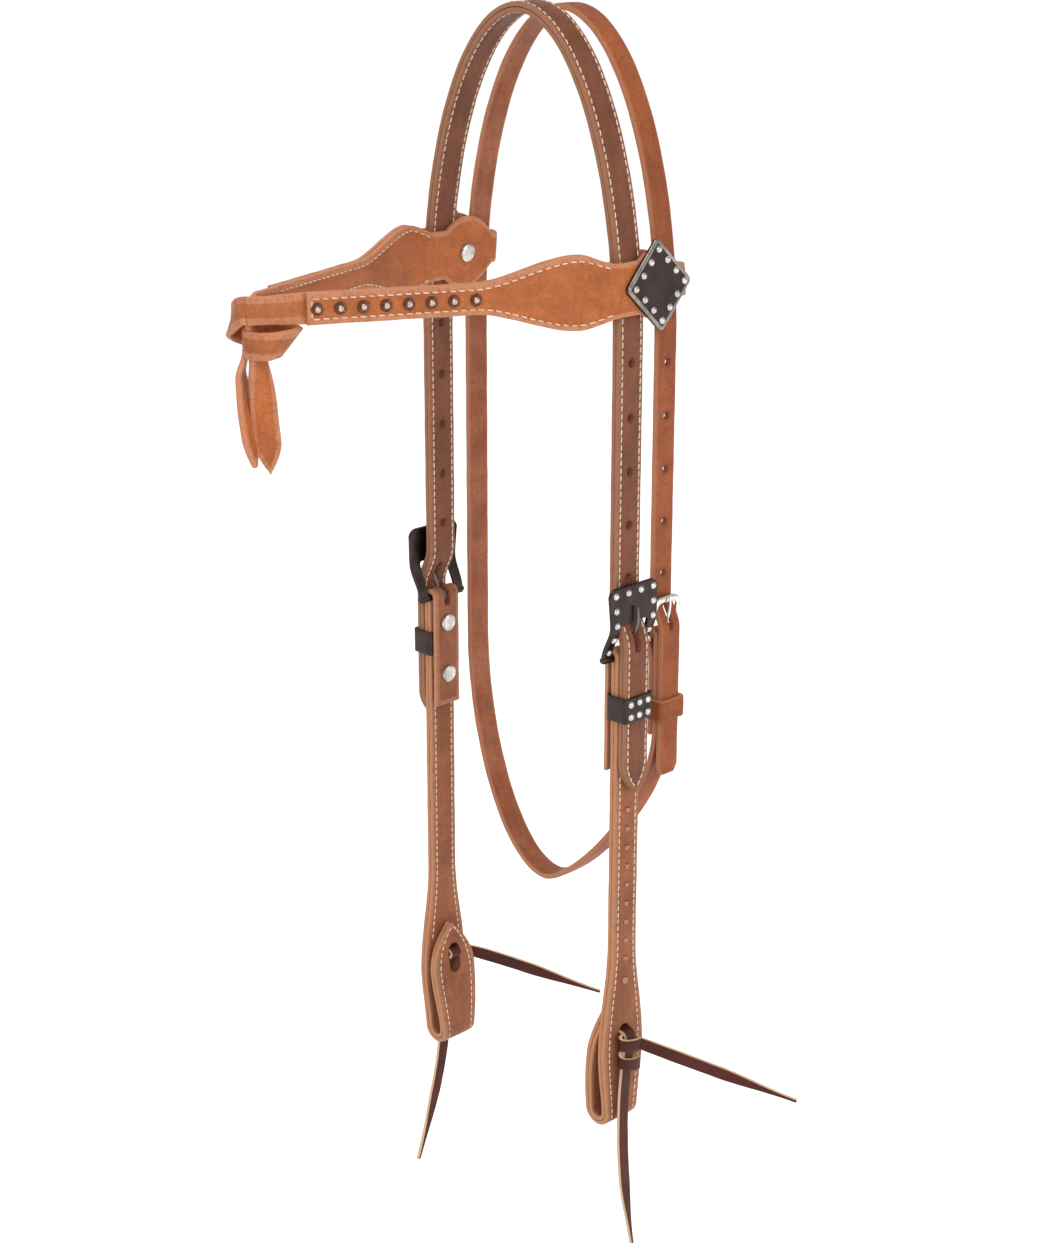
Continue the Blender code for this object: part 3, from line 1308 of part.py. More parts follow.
def main():
    clear_scene()
    bench = Bench()
    looks = {name: material(name, *values) for name, values in LOOKS.items()}
    crown_leather, cheek_leather, brow_leather, throat_leather, lace_leather = [looks[k] for k in LEATHERS]
    gunmetal, silver, spot_metal = [looks[name] for name in METALS]
    crown(bench, crown_leather)
    throatlatch(bench, throat_leather)
    throat_buckle(bench, silver)
    throat_fittings(bench, throat_leather, silver)
    near = BrowLine(1, KNOT_ASIDE)
    far = BrowLine(-1, 0)
    browband_half(bench, "near", near, wrapped_stations(near, far), brow_leather)
    browband_half(bench, "far", far, straight_stations(far), brow_leather)
    for name, side, brow in (("near", 1, near), ("far", -1, far)):
        cheek(bench, name, side, cheek_leather)
        cheek_screws(bench, name, side, silver)
        cheek_buckle(bench, name, side, gunmetal)
        cheek_tongue(bench, name, side, silver)
        metal_keeper(bench, name, side, gunmetal)
        browband_spots(bench, name, brow, spot_metal)
        concho(bench, name, brow, gunmetal, silver)
    swinging = (NEAR_SWING, NEAR_LEAVE, NEAR_LEAVE_SHARE)
    water_tie(bench, "near", 1, (NEAR_HANG, NEAR_BOW), swinging, lace_leather)
    swinging = (FAR_SWING, FAR_LEAVE, FAR_LEAVE_SHARE)
    water_tie(bench, "far", -1, (FAR_HANG, FAR_BOW), swinging, lace_leather)


main()
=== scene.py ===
"""The looks of the western headstall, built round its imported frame.

Metres, +Z up. The near side is +X, the knot of the browband faces -Y, and the origin is the underside of
the crown strap over the poll. Each leather piece follows its solid's middle line, apart from the knot and the
laces, which are shaped more closely here. A route is given in (level, drop) from a buckle's heel bar or in
(x, z), and a station is a place on a strap with its direction across and its half width.
"""

import math
import random
from functools import partial

import bmesh
import bpy
import numpy as np
from mathutils import Matrix, Vector


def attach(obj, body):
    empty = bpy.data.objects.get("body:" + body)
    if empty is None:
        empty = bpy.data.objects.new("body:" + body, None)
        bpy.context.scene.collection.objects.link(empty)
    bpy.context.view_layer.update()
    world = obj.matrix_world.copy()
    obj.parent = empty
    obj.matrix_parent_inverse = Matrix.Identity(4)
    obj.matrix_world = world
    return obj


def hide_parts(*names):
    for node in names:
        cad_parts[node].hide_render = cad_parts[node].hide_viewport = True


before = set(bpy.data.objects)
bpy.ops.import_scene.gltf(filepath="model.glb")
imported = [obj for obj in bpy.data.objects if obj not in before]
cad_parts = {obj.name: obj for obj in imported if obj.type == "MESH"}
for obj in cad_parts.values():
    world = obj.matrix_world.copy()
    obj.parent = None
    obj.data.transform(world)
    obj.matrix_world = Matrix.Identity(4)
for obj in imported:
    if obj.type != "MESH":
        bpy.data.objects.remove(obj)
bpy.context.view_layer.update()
random.seed(11)

# Clearances
SEAT = 0.0003
PLY_GAP = 0.0003

# Crown strap
STRAP_WIDTH = 0.0159
CROWN_PLY = 0.00235
HALF_SPAN = 0.0635
ARCH_REACH = 0.033
ARCH_SHOULDER = 0.060
ARCH_DROP = 0.145
HOLE_RISE = 0.0384
HOLE_SPACING = 0.0254
HOLE_COUNT = 5
HOLE_RADIUS = 0.0022
BILLET_TAIL = 0.068
BILLET_POINT = 0.015
TIP_HALF = 0.0005
TIP_CURVE = 1.7

# Cheek straps
HEEL_DROP = 0.291
CHEEK_PLY = 0.0024
CHEEK_LINING = 0.0023
TAB_LENGTH = 0.058
CHEEK_LENGTH = 0.2487
BIT_LOOP_RADIUS = 0.0030
FLARE_START = 0.150
FLARE_FULL = 0.207
FLARE_WIDTH = 0.028
WAIST_WIDTH = 0.021
LEAF_LENGTH = 0.066
LEAF_POINT = 0.026
LEAF_CURVE = 2.1
TIE_SLOT_DROP = 0.202
TIE_SLOT_LENGTH = 0.0165
TIE_SLOT_WIDTH = 0.0078
CHEEK_SPOT_DROP = 0.0785
CHEEK_SPOT_SPACING = 0.0099
CHEEK_SPOT_COUNT = 9
LOW_SPOT_DROP = 0.170
SPOT_RADIUS = 0.0016
LOW_SPOT_RADIUS = 0.0021
SPOT_HEIGHT = 0.0009

# Cheek buckles
BAR_RADIUS = 0.0016
FRAME_PLATE = 0.0022
FRAME_TOP_HALF = 0.0160
FRAME_FOOT_HALF = 0.0144
FRAME_RISE = 0.036
FRAME_CORNER = 0.0045
FRAME_OPENING = 0.018
FRAME_DISH = 0.0006
LEG_CLEARANCE = 0.0011
STUD_RADIUS = 0.0018
STUD_HEIGHT = 0.0012
STUD_INSET = 0.0034
STUD_FOOT = 0.0040
STUDS_PER_LEG = 4
STUD_ROW_SHARES = (-1, -1 / 3, 1 / 3, 1)
TONGUE_RADIUS = 0.0010
TONGUE_SLOT = 0.0042
TONGUE_SLOT_TOP = 0.0070
TONGUE_SLOT_FOOT = 0.0050
TONGUE_LENGTH = 0.025
TONGUE_ROOT = math.radians(41)
TONGUE_SHARES = (
    (0.34, 0.18), (0.49, 0.32), (0.76, 0.48), (0.98, 0.64), (1.04, 0.72), (1.05, 0.84), (1.01, 1.0),
)
STEP_START = 0.025
STEP_END = 0.005
STEP_SLANT = 1.12

# Screws and metal keepers
SCREW_SHANK = 0.0022
SCREW_HEAD = 0.0044
SCREW_HEAD_DEPTH = 0.0013
SCREW_CAP = 0.0036
SCREW_CAP_DEPTH = 0.0009
SCREW_DROPS = (0.0138, 0.0414)
KEEPER_BAND = 0.0011
KEEPER_HEIGHT = 0.0125
KEEPER_DROP = 0.0245
KEEPER_SIDE_CLEARANCE = 0.0006
KEEPER_CORNER = 0.0008
KEEPER_STUD_ROW = 0.0031
KEEPER_STUD_COLUMN = 0.0058

# Browband
BROW_PLY = 0.0026
BROW_DROP = 0.117
BROW_RUNNING_GAP = 0.0009
KNOT_REACH = 0.1693
KNOT_RISE = 0.0042
BROW_CORNER = 0.0109
BROW_BEND = 0.040
BROW_NARROW = 0.0136
BROW_WIDE = 0.0336
BROW_NECK = 0.0240
BROW_TAB = 0.0150
LOBE_RADIUS = 0.0175
NEAR_LOBE_RADIUS = 0.0154
NARROW_END = 0.102
WIDE_AT = 0.153
NECK_AT = 0.172
OVERLAY_END = 0.026
BROW_FOLD = 0.0304
BROW_PARTING = 0.153
BROW_PARTED = 0.169
BROW_SPOT_START = 0.0302
BROW_SPOT_SPACING = 0.0104
BROW_SPOT_COUNT = 8
KNOT_ASIDE = 0.0034
WRAP_SIDE = 0.0075
WRAP_FRONT = 0.0096
WRAP_STEP = 0.0033
WRAP_DROP = 0.0146
WRAP_START = math.radians(27)
WRAP_OUTWARD = math.radians(200)
WRAP_OUTER = math.radians(330)
WRAP_END = math.radians(488)
WRAP_DESCENT = (math.radians(70), math.radians(240))
KNOT_SLIM = 0.88
KNOT_LIFT = 0.0015
TAIL_FORWARD = 0.0030
WRAP_TAIL_BEND = 0.0030
WRAP_TAIL_TURN = math.radians(-24)
WRAP_TAIL_LENGTH = 0.0685
FAR_TAIL_LENGTH = 0.0722
SWAY_START = 0.012
FAR_TAIL_BEND = 0.0045
NEAR_SWAY = (Vector((-0.0010, -0.0040, 0)), Vector((0.0081, 0.0011, 0)))
FAR_SWAY = (Vector((0, 0, 0)), Vector((0.0034, 0.0034, 0)))
WRAP_LEFT = 0.0036
WRAP_LEFT_AT = [math.radians(angle) for angle in (80, 165, 190, 250)]
WRAP_SHIFT = Vector((0.0046, 0.0047, 0))
WRAP_LEAN = math.radians(38)
WRAP_LEAN_WAY = Vector((0.6995, 0.7146, 0))
WRAP_LEAN_AT = [math.radians(angle) for angle in (215, 275, 345, 440)]
WRAP_FROM = 0.0075
TAIL_AT = 0.0105
TAIL_TURN = math.radians(60)
TAIL_TURN_START = 0.020
TAIL_TURN_END = 0.048
TAIL_POINT = 0.014

# Conchos
CONCHO_SIDE = 0.0305
CONCHO_PLATE = 0.0024
CONCHO_CORNER = 0.0025
CONCHO_AT = 0.0130
CONCHO_STUD_REACH = 0.0160
CONCHO_STUDS_PER_EDGE = 4
POST_RADIUS = 0.0029
CONCHO_SCREW_HEAD = 0.0045
CONCHO_SCREW_DEPTH = 0.0012

# Throatlatch
THROAT_WIDTH = 0.0127
THROAT_PLY = 0.0028
THROAT_SETBACK = 0.0254
THROAT_HEEL_DROP = 0.287
THROAT_TAIL = 0.070
THROAT_TAIL_CUT = 0.004
THROAT_TAB = 0.050
THROAT_FAR_END = 0.028
THROAT_LOW = 0.149
THROAT_LOW_SIDE = 0.009
THROAT_SWING = 0.088
THROAT_BELLY = 0.038
THROAT_TAB_JOIN = 0.012
THROAT_CUT_SHARE = 0.35
THROAT_NEAR_END = 0.048
THROAT_HOLE_RISE = 0.0309
THROAT_HOLE_COUNT = 5
THROAT_HOLE_RADIUS = 0.0019
THROAT_BAR = 0.0013
THROAT_STEP_START = 0.020
THROAT_STEP_END = 0.004
THROAT_FRAME_HALF = 0.0100
THROAT_FRAME_RISE = 0.020
THROAT_FRAME_PLATE = 0.0024
THROAT_FRAME_RAIL = 0.0033
THROAT_FRAME_CORNER = 0.0060
THROAT_FRAME_FOOT = 0.0030
THROAT_TONGUE = 0.0008
THROAT_TONGUE_SLOT = 0.0034
THROAT_SLOT_TOP = 0.0060
THROAT_SLOT_FOOT = 0.0045
THROAT_TONGUE_SHARES = ((0.42, 0.17), (0.60, 0.30), (0.86, 0.52), (1.0, 0.72), (1.03, 0.86), (1.0, 1.0))
THROAT_SCREW_DROP = 0.018
THROAT_KEEPER_DROP = 0.036
THROAT_KEEPER_HEIGHT = 0.0105
THROAT_KEEPER_PLY = 0.0020

# Water ties
LACE_WIDTH = 0.0064
LACE_PLY = 0.0020
LACE_TIP = 0.0014
LACE_TAPER = 0.045
TIE_AXIS = 0.0082
TIE_DEPTH = 0.0025
TIE_REACH_HALF = 0.0062
TIE_RISE = 0.0008
TIE_BEND = 0.0026
TIE_TURN = 0.0020
TIE_INNER = -0.0062
TIE_PITCH = 0.0076
TIE_TURN_STEPS = 48
TIE_PULL_SHARE = 0.35
TIE_SQUARE_UNTIL = 0.6
NEAR_HANG = (0, 0.004, -0.119)
NEAR_BOW = (0, -0.008, 0)
NEAR_LEAVE = (0, 0.006, -0.004)
NEAR_LEAVE_SHARE = 0.15
NEAR_SWING = (0.060, 0.062, -0.036)
FAR_HANG = (0, -0.014, -0.1245)
FAR_BOW = (0, 0.016, 0)
FAR_LEAVE = (0, 0.016, -0.006)
FAR_LEAVE_SHARE = 0.2
FAR_SWING = (-0.053, 0.071, -0.032)

# How finely the middle lines are drawn
ARCH_STEPS = 90
FOLD_STEPS = 24
BIT_FOLD_STEPS = 30
EASE_STEPS = 30
LOBE_STEPS = 40
LOOP_STEPS = 60
WRAP_STEPS = 130
LINE_STEPS = 12
LANE_STEPS = 40
POINT_STEPS = 20
LEG_STEPS = 30
FRAME_SIDE_STEPS = 8
FRAME_CORNER_STEPS = 10
THROAT_LEG_STEPS = 16
THROAT_FOOT_STEPS = 8
THROAT_CORNER_STEPS = 14
TONGUE_STEPS = 5
HEAD_STEPS = 6

# How many sides round pieces have, and the angles in degrees above which an edge stays sharp
ROD_SIDES = 24
DOME_SIDES = 28
SMALL_SPOT_SIDES = 20
TONGUE_SIDES = 18
TONGUE_RING_SIDES = 32
SCREW_SIDES = 40
SLOT_SIDES = 12
SHARP = 35
STRAP_SHARP = 42
SCREW_SHARP = 30
CONCHO_SHARP = 28

UP = Vector((0, 0, 1))
ACROSS = Vector((0, 1, 0))


def near_side(side, x, y, z):
    return Vector((side * x, y, z))


def ease(share):
    share = min(max(share, 0), 1)
    return share * share * (3 - 2 * share)


def eased(value, first, last):
    """A smooth step from 0 at the first value to 1 at the last."""
    return ease((value - first) / (last - first))


CROWN_HALF = CROWN_PLY + PLY_GAP / 2
CHEEK_LEVEL = BAR_RADIUS + SEAT + CHEEK_PLY / 2
CHEEK_FACE = CHEEK_LEVEL + CHEEK_PLY / 2
LINING_OFFSET = CHEEK_PLY / 2 + PLY_GAP + CHEEK_LINING / 2
LINING_BACK = CHEEK_LEVEL - LINING_OFFSET - CHEEK_LINING / 2
TAB_LEVEL = LINING_BACK - KEEPER_BAND - 2 * SEAT - CHEEK_PLY / 2
TAIL_LEVEL = CHEEK_FACE + SEAT + CROWN_HALF
LOOP_FOLD = BIT_LOOP_RADIUS + CHEEK_LINING + PLY_GAP + CHEEK_PLY / 2
STEP_AT_OPENING = TAIL_LEVEL * eased(FRAME_OPENING, STEP_START, STEP_END)
FRAME_LEVEL = STEP_AT_OPENING + CROWN_HALF * STEP_SLANT + SEAT + FRAME_PLATE / 2
OPENING_HALF = STRAP_WIDTH / 2 + LEG_CLEARANCE
BROW_PLY_LEVEL = (BROW_PLY + PLY_GAP) / 2
BROW_RUN_LEVEL = CROWN_HALF + BROW_RUNNING_GAP + BROW_PLY / 2
KNOT_LEVEL = KNOT_RISE - BROW_DROP
THROAT_LEVEL = THROAT_BAR + SEAT + THROAT_PLY / 2
THROAT_TAIL_LEVEL = THROAT_LEVEL + THROAT_PLY + SEAT
THROAT_OPENING = THROAT_FRAME_RISE - THROAT_FRAME_RAIL
THROAT_STEP = THROAT_TAIL_LEVEL * eased(THROAT_OPENING, THROAT_STEP_START, THROAT_STEP_END)
THROAT_FRAME_LEVEL = THROAT_STEP + THROAT_PLY / 2 * STEP_SLANT + SEAT + THROAT_FRAME_PLATE / 2
TIE_DROP = TIE_SLOT_DROP - TIE_RISE
TIE_BEND_DROP = TIE_DROP - 2 * TIE_TURN


# Middle lines

def curve(a, b, c, d, steps):
    """Points of a Bezier curve, both ends included."""
    points = []
    for i in range(steps + 1):
        t = i / steps
        s = 1 - t
        weights = (s * s * s, 3 * s * s * t, 3 * s * t * t, t * t * t)
        points.append(tuple(sum(w * q for w, q in zip(weights, parts)) for parts in zip(a, b, c, d)))
    return points


def arc(x, y, radius, first, last, steps):
    """Points of a circle from one angle to another, both ends included."""
    angles = [first + (last - first) * i / steps for i in range(steps + 1)]
    return [(x + radius * math.cos(angle), y + radius * math.sin(angle)) for angle in angles]


def line(start, end, steps=LINE_STEPS):
    return [tuple(p + (q - p) * i / steps for p, q in zip(start, end)) for i in range(1, steps + 1)]


def evenly(start, end, steps):
    return [start + (end - start) * i / steps for i in range(steps)]


def step_over(base, rise, start, end, steps=EASE_STEPS):
    """A smooth step from one level to another between two heights, without its first point."""
    shares = [i / steps for i in range(1, steps + 1)]
    return [(base + rise * ease(share), start + (end - start) * share) for share in shares]


def lengths(route):
    total = [0]
    for p, q in zip(route, route[1:]):
        total.append(total[-1] + math.dist(p, q))
    return total


def offset(route, distance):
    moved = []
    for i, point in enumerate(route):
        before = route[max(i - 1, 0)]
        after = route[min(i + 1, len(route) - 1)]
        along = Vector((after[0] - before[0], after[1] - before[1])).normalized()
        moved.append((point[0] - along.y * distance, point[1] + along.x * distance))
    return moved


def pointed(half, left, point):
    if left >= point:
        return half
    share = 1 - left / point
    return max(half * (1 - share ** TIP_CURVE), TIP_HALF)


def arch(height):
    shoulder = (HALF_SPAN, -ARCH_SHOULDER)
    return curve((0, height), (ARCH_REACH, height), shoulder, (HALF_SPAN, -ARCH_DROP), ARCH_STEPS)


def arch_at(drop):
    points = arch(CROWN_HALF)
    for (x0, z0), (x1, z1) in zip(points, points[1:]):
        if z1 <= -drop <= z0:
            share = (z0 + drop) / (z0 - z1)
            return x0 + (x1 - x0) * share, (x1 - x0) / (z0 - z1)
    return HALF_SPAN, 0


def crown_half():
    route = arch(CROWN_HALF)
    step_top = -HEEL_DROP + STEP_START
    route += line(route[-1], (HALF_SPAN, step_top), LANE_STEPS)
    route += step_over(HALF_SPAN, TAIL_LEVEL, step_top, -HEEL_DROP + STEP_END)
    x = HALF_SPAN + TAIL_LEVEL
    tip = -HEEL_DROP - BILLET_TAIL
    route += line(route[-1], (x, tip + BILLET_POINT))
    return route + line(route[-1], (x, tip), POINT_STEPS)


def crown_stations(route):
    total = lengths(route)
    halves = [pointed(STRAP_WIDTH / 2, min(run, total[-1] - run), BILLET_POINT) for run in total]
    return [(Vector((x, 0, z)), ACROSS, half) for (x, z), half in zip(route, halves)]


def cheek_half_width(run, leaf_start, total):
    if run <= FLARE_FULL:
        return (STRAP_WIDTH + (FLARE_WIDTH - STRAP_WIDTH) * eased(run, FLARE_START, FLARE_FULL)) / 2
    narrow = (WAIST_WIDTH - FLARE_WIDTH) / 2
    if run <= CHEEK_LENGTH:
        return FLARE_WIDTH / 2 + narrow * eased(run, FLARE_FULL, CHEEK_LENGTH)
    if run <= leaf_start:
        return WAIST_WIDTH / 2
    shoulder = total - LEAF_POINT
    if run <= shoulder:
        return WAIST_WIDTH / 2 - narrow * eased(run, leaf_start, shoulder)
    return max(FLARE_WIDTH / 2 * (1 - ((run - shoulder) / LEAF_POINT) ** LEAF_CURVE), TIP_HALF)


def cheek_body():
    """The cheek from its buckle's heel bar down, round the bit loop and up the leaf, in (level, drop)."""
    bottom = CHEEK_LENGTH - LOOP_FOLD
    route = [(CHEEK_LEVEL, 0)]
    route += line(route[-1], (CHEEK_LEVEL, FLARE_START), LANE_STEPS)
    route += line(route[-1], (CHEEK_LEVEL, bottom), LANE_STEPS)
    route += arc(CHEEK_LEVEL - LOOP_FOLD, bottom, LOOP_FOLD, 0, math.pi, BIT_FOLD_STEPS)[1:]
    start = route[-1][0]
    rest = CHEEK_LEVEL - 2 * LINING_OFFSET - CHEEK_LINING - SEAT
    return route + step_over(start, rest - start, bottom, CHEEK_LENGTH - LEAF_LENGTH, LANE_STEPS)


def cheek_top():
    """The cheek's folded tab, from its end up and over the heel bar."""
    route = [(TAB_LEVEL, TAB_LENGTH)] + line((TAB_LEVEL, TAB_LENGTH), (TAB_LEVEL, 0), LANE_STEPS)
    centre, radius = (CHEEK_LEVEL + TAB_LEVEL) / 2, (CHEEK_LEVEL - TAB_LEVEL) / 2
    return route + arc(centre, 0, radius, math.pi, 2 * math.pi, FOLD_STEPS)[1:-1]


def cheek_place(side, level, drop, along=0):
    return near_side(side, HALF_SPAN + level, along, -HEEL_DROP - drop)


class BrowLine:
    """The middle line of one browband half in plan, from the knot back to the fold behind the throatlatch."""

    def __init__(self, side, aside):
        self.side = side
        self.x, self.lean = arch_at(BROW_DROP)
        self.knot = Vector((aside, -KNOT_REACH))
        self.lift = 0 if side > 0 else KNOT_LIFT
        self.lobe = NEAR_LOBE_RADIUS if side > 0 else LOBE_RADIUS
        corner = Vector((self.x, -BROW_CORNER))
        self.way = (corner - self.knot).normalized()
        self.angle = math.atan2(self.way.x, self.way.y)
        trim = BROW_BEND * math.tan(self.angle / 2)
        self.bend_start = (corner - self.knot).length - trim
        self.bend_end = self.bend_start + BROW_BEND * self.angle
        self.rear_start = trim - BROW_CORNER

    def run_at(self, y):
        return self.bend_end + y - self.rear_start

    def plan(self, run):
        if run <= self.bend_start:
            return self.knot + self.way * run, self.way
        if run >= self.bend_end:
            return Vector((self.x, self.rear_start + run - self.bend_end)), Vector((0, 1))
        turn = self.angle - (run - self.bend_start) / BROW_BEND
        way = Vector((math.sin(turn), math.cos(turn)))
        centre = Vector((self.x - BROW_BEND, self.rear_start))
        return centre + Vector((way.y, -way.x)) * BROW_BEND, way

    def frame(self, run):
        """The middle at this length, and the directions outward, to the rear and across the band."""
        point, way = self.plan(run)
        lean = math.atan(self.lean) * eased(run, BROW_PARTING, BROW_PARTED)
        height = KNOT_RISE * max(1 - run / NECK_AT, 0) - BROW_DROP
        middle = near_side(self.side, point.x, point.y, height)
        rear = near_side(self.side, way.x, way.y, 0)
        wide = near_side(self.side, -math.sin(lean), 0, math.cos(lean))
        outward = near_side(self.side, way.y * math.cos(lean), -way.x, way.y * math.sin(lean)).normalized()
        return middle, outward, rear, wide

    def level(self, run):
        return BROW_PLY_LEVEL + (BROW_RUN_LEVEL - BROW_PLY_LEVEL) * eased(run, BROW_PARTING, BROW_PARTED)

    def half(self, run):
        if run <= WIDE_AT:
            return (BROW_NARROW + (BROW_WIDE - BROW_NARROW) * eased(run, NARROW_END, WIDE_AT)) / 2
        neck = (BROW_WIDE + (BROW_NECK - BROW_WIDE) * eased(run, WIDE_AT, NECK_AT)) / 2
        away = abs(run - self.run_at(CONCHO_AT))
        lobe = math.sqrt(max(self.lobe ** 2 - away ** 2, 0))
        return max(lobe, neck if run < self.run_at(CONCHO_AT) else BROW_TAB / 2)

    def station(self, run, ply):
        middle, outward, _, wide = self.frame(run)
        return middle + outward * self.level(run) * ply, wide, self.half(run)


def brow_stations(brow, start):
    """From the overlay's end back to the fold, round it, and forward along the inner ply to the knot."""
    fold = brow.run_at(BROW_FOLD)
    runs = evenly(OVERLAY_END, NARROW_END, LANE_STEPS) + evenly(NARROW_END, NECK_AT, 2 * LANE_STEPS)
    runs += evenly(NECK_AT, brow.run_at(CONCHO_AT - LOBE_RADIUS), POINT_STEPS)
    lobe = brow.run_at(CONCHO_AT)
    for i in range(LOBE_STEPS + 1):
        away = -LOBE_RADIUS * math.cos(math.pi * i / LOBE_STEPS)
        if lobe + away > runs[-1] and lobe + away < fold - BROW_RUN_LEVEL:
            runs.append(lobe + away)
    stations = [brow.station(run, 1) for run in runs]
    middle, outward, rear, wide = brow.frame(fold)
    for i in range(FOLD_STEPS + 1):
        angle = math.pi * i / FOLD_STEPS
        way = outward * math.cos(angle) + rear * math.sin(angle)
        stations.append((middle + way * BROW_RUN_LEVEL, wide, BROW_TAB / 2))
    back = [brow.station(run, -1) for run in reversed(runs)]
    lane = []
    for run in evenly(OVERLAY_END, start, POINT_STEPS) + [start]:
        centre, wide, half = brow.station(run, -1)
        slim = 1 - (1 - KNOT_SLIM) * eased(run, OVERLAY_END, start)
        lane.append((centre + UP * brow.lift * eased(run, OVERLAY_END, 0), wide, half * slim))
    return stations + back[:-1] + lane


def bend_down(stations, way, radius):
    """Adds a quarter turn from level to straight down."""
    start, _, half = stations[-1]
    for i in range(1, FOLD_STEPS + 1):
        angle = math.pi / 2 * i / FOLD_STEPS
        centre = start + way * radius * math.sin(angle) - UP * radius * (1 - math.cos(angle))
        stations.append((centre, UP * math.cos(angle) + way * math.sin(angle), half))


def hang_tail(stations, low, turn, top, foot, sway):
    """Adds a pointed end that hangs to a height, turned about the vertical and moved aside as it goes down."""
    start, wide, half = stations[-1]
    length = start.z - low
    shoulder = length - TAIL_POINT
    for run in evenly(0, shoulder, LANE_STEPS)[1:] + evenly(shoulder, length, POINT_STEPS) + [length]:
        drop = KNOT_LEVEL - start.z + run
        angle = turn * eased(drop, top, foot)
        across = Matrix.Rotation(angle, 3, "Z") @ wide
        moved = sway[0] * ease(run / SWAY_START) + sway[1] * (run / length)
        stations.append((start - UP * run + moved, across, pointed(half, length - run, TAIL_POINT)))


def square_up(along):
    """The direction nearest to up that is square to another."""
    return (UP - along * UP.dot(along)).normalized()


def window(angle, first, full, last, gone):
    return eased(angle, first, full) * (1 - eased(angle, last, gone))


def wrapped_stations(near, far):
    """The wrap comes down on its left side and is folded aslant on its right one."""
    stations = brow_stations(near, WRAP_FROM)
    centre = far.station(TAIL_AT, -1)[0]
    half = BROW_NARROW / 2 * KNOT_SLIM
    tops, leans = [], []
    for angle in evenly(WRAP_START, WRAP_END, WRAP_STEPS) + [WRAP_END]:
        outer = eased(angle, WRAP_OUTWARD, WRAP_OUTER)
        side = WRAP_SIDE + WRAP_STEP * outer + WRAP_LEFT * window(angle, *WRAP_LEFT_AT)
        x = centre.x + WRAP_SHIFT.x * outer + side * math.cos(angle)
        y = centre.y + WRAP_SHIFT.y * outer - (WRAP_FRONT + WRAP_STEP * outer) * math.sin(angle)
        tops.append(Vector((x, y, KNOT_LEVEL - WRAP_DROP * eased(angle, *WRAP_DESCENT) + half)))
        leans.append(WRAP_LEAN * window(angle, *WRAP_LEAN_AT))
    for i, (top, lean) in enumerate(zip(tops, leans)):
        along = (tops[min(i + 1, WRAP_STEPS)] - tops[max(i - 1, 0)]).normalized()
        wide = square_up(along) * math.cos(lean) + WRAP_LEAN_WAY * math.sin(lean)
        reach = half / math.cos(lean)
        stations.append((top - wide * reach, wide, reach))
    along = stations[-1][0] - stations[-2][0]
    bend_down(stations, along.normalized(), WRAP_TAIL_BEND)
    hang_tail(stations, KNOT_LEVEL - WRAP_TAIL_LENGTH, WRAP_TAIL_TURN, WRAP_DROP, TAIL_TURN_END, NEAR_SWAY)
    return stations


def straight_stations(far):
    start = TAIL_AT + FAR_TAIL_BEND - TAIL_FORWARD
    stations = brow_stations(far, start)
    _, way = far.plan(start)
    bend_down(stations, near_side(far.side, -way.x, -way.y, 0), FAR_TAIL_BEND)
    hang_tail(stations, KNOT_LEVEL - FAR_TAIL_LENGTH, -TAIL_TURN, TAIL_TURN_START, TAIL_TURN_END, FAR_SWAY)
    return stations


def throat_place(level, drop, along=0):
    return Vector((HALF_SPAN + level, THROAT_SETBACK + along, -THROAT_HEEL_DROP - drop))


def throat_route():
    """The whole throatlatch in (x, z), from its cut end over the poll and round to the folded tab."""
    tail = HALF_SPAN + THROAT_TAIL_LEVEL
    top = -THROAT_HEEL_DROP
    route = [(tail, top - THROAT_TAIL)]
    route += line(route[0], (tail, top - THROAT_TAIL + THROAT_TAIL_CUT))
    route += line(route[-1], (tail, top + THROAT_STEP_END))
    route += step_over(tail, -THROAT_TAIL_LEVEL, top + THROAT_STEP_END, top + THROAT_STEP_START)
    near_arch = arch(THROAT_PLY / 2)
    route += line(route[-1], near_arch[-1])
    route += near_arch[::-1] + [(-x, z) for x, z in near_arch[1:]]
    far = (-HALF_SPAN, top - THROAT_FAR_END)
    low = (-THROAT_LOW_SIDE, top - THROAT_LOW)
    swing = top - THROAT_SWING
    route += line(route[-1], far)
    route += curve(far, (-HALF_SPAN, swing), (-THROAT_BELLY, low[1]), low, LOOP_STEPS)[1:]
    up = HALF_SPAN + THROAT_LEVEL
    end = (up, top - THROAT_NEAR_END)
    route += curve(low, (THROAT_LOW_SIDE, low[1]), (up, swing), end, LOOP_STEPS)[1:]
    route += line(end, (up, top))
    route += arc(HALF_SPAN, top, THROAT_LEVEL, 0, math.pi, FOLD_STEPS)[1:]
    back = HALF_SPAN - THROAT_LEVEL
    route += step_over(back, 2 * THROAT_LEVEL - THROAT_PLY - SEAT, top, top - THROAT_TAB_JOIN)
    return route + line(route[-1], (route[-1][0], top - THROAT_TAB))


def throat_half(left):
    if left >= THROAT_TAIL_CUT:
        return THROAT_WIDTH / 2
    return THROAT_WIDTH / 2 * (1 - THROAT_CUT_SHARE * (1 - left / THROAT_TAIL_CUT))


def lace_stations(points, wides):
    """A lace's stations from its pointed tip on."""
    halves = [(LACE_TIP + (LACE_WIDTH - LACE_TIP) * eased(run, 0, LACE_TAPER)) / 2 for run in lengths(points)]
    return list(zip(points, wides, halves))


def curve_points(a, b, c, d, steps):
    return [Vector(point) for point in curve(a, b, c, d, steps)]


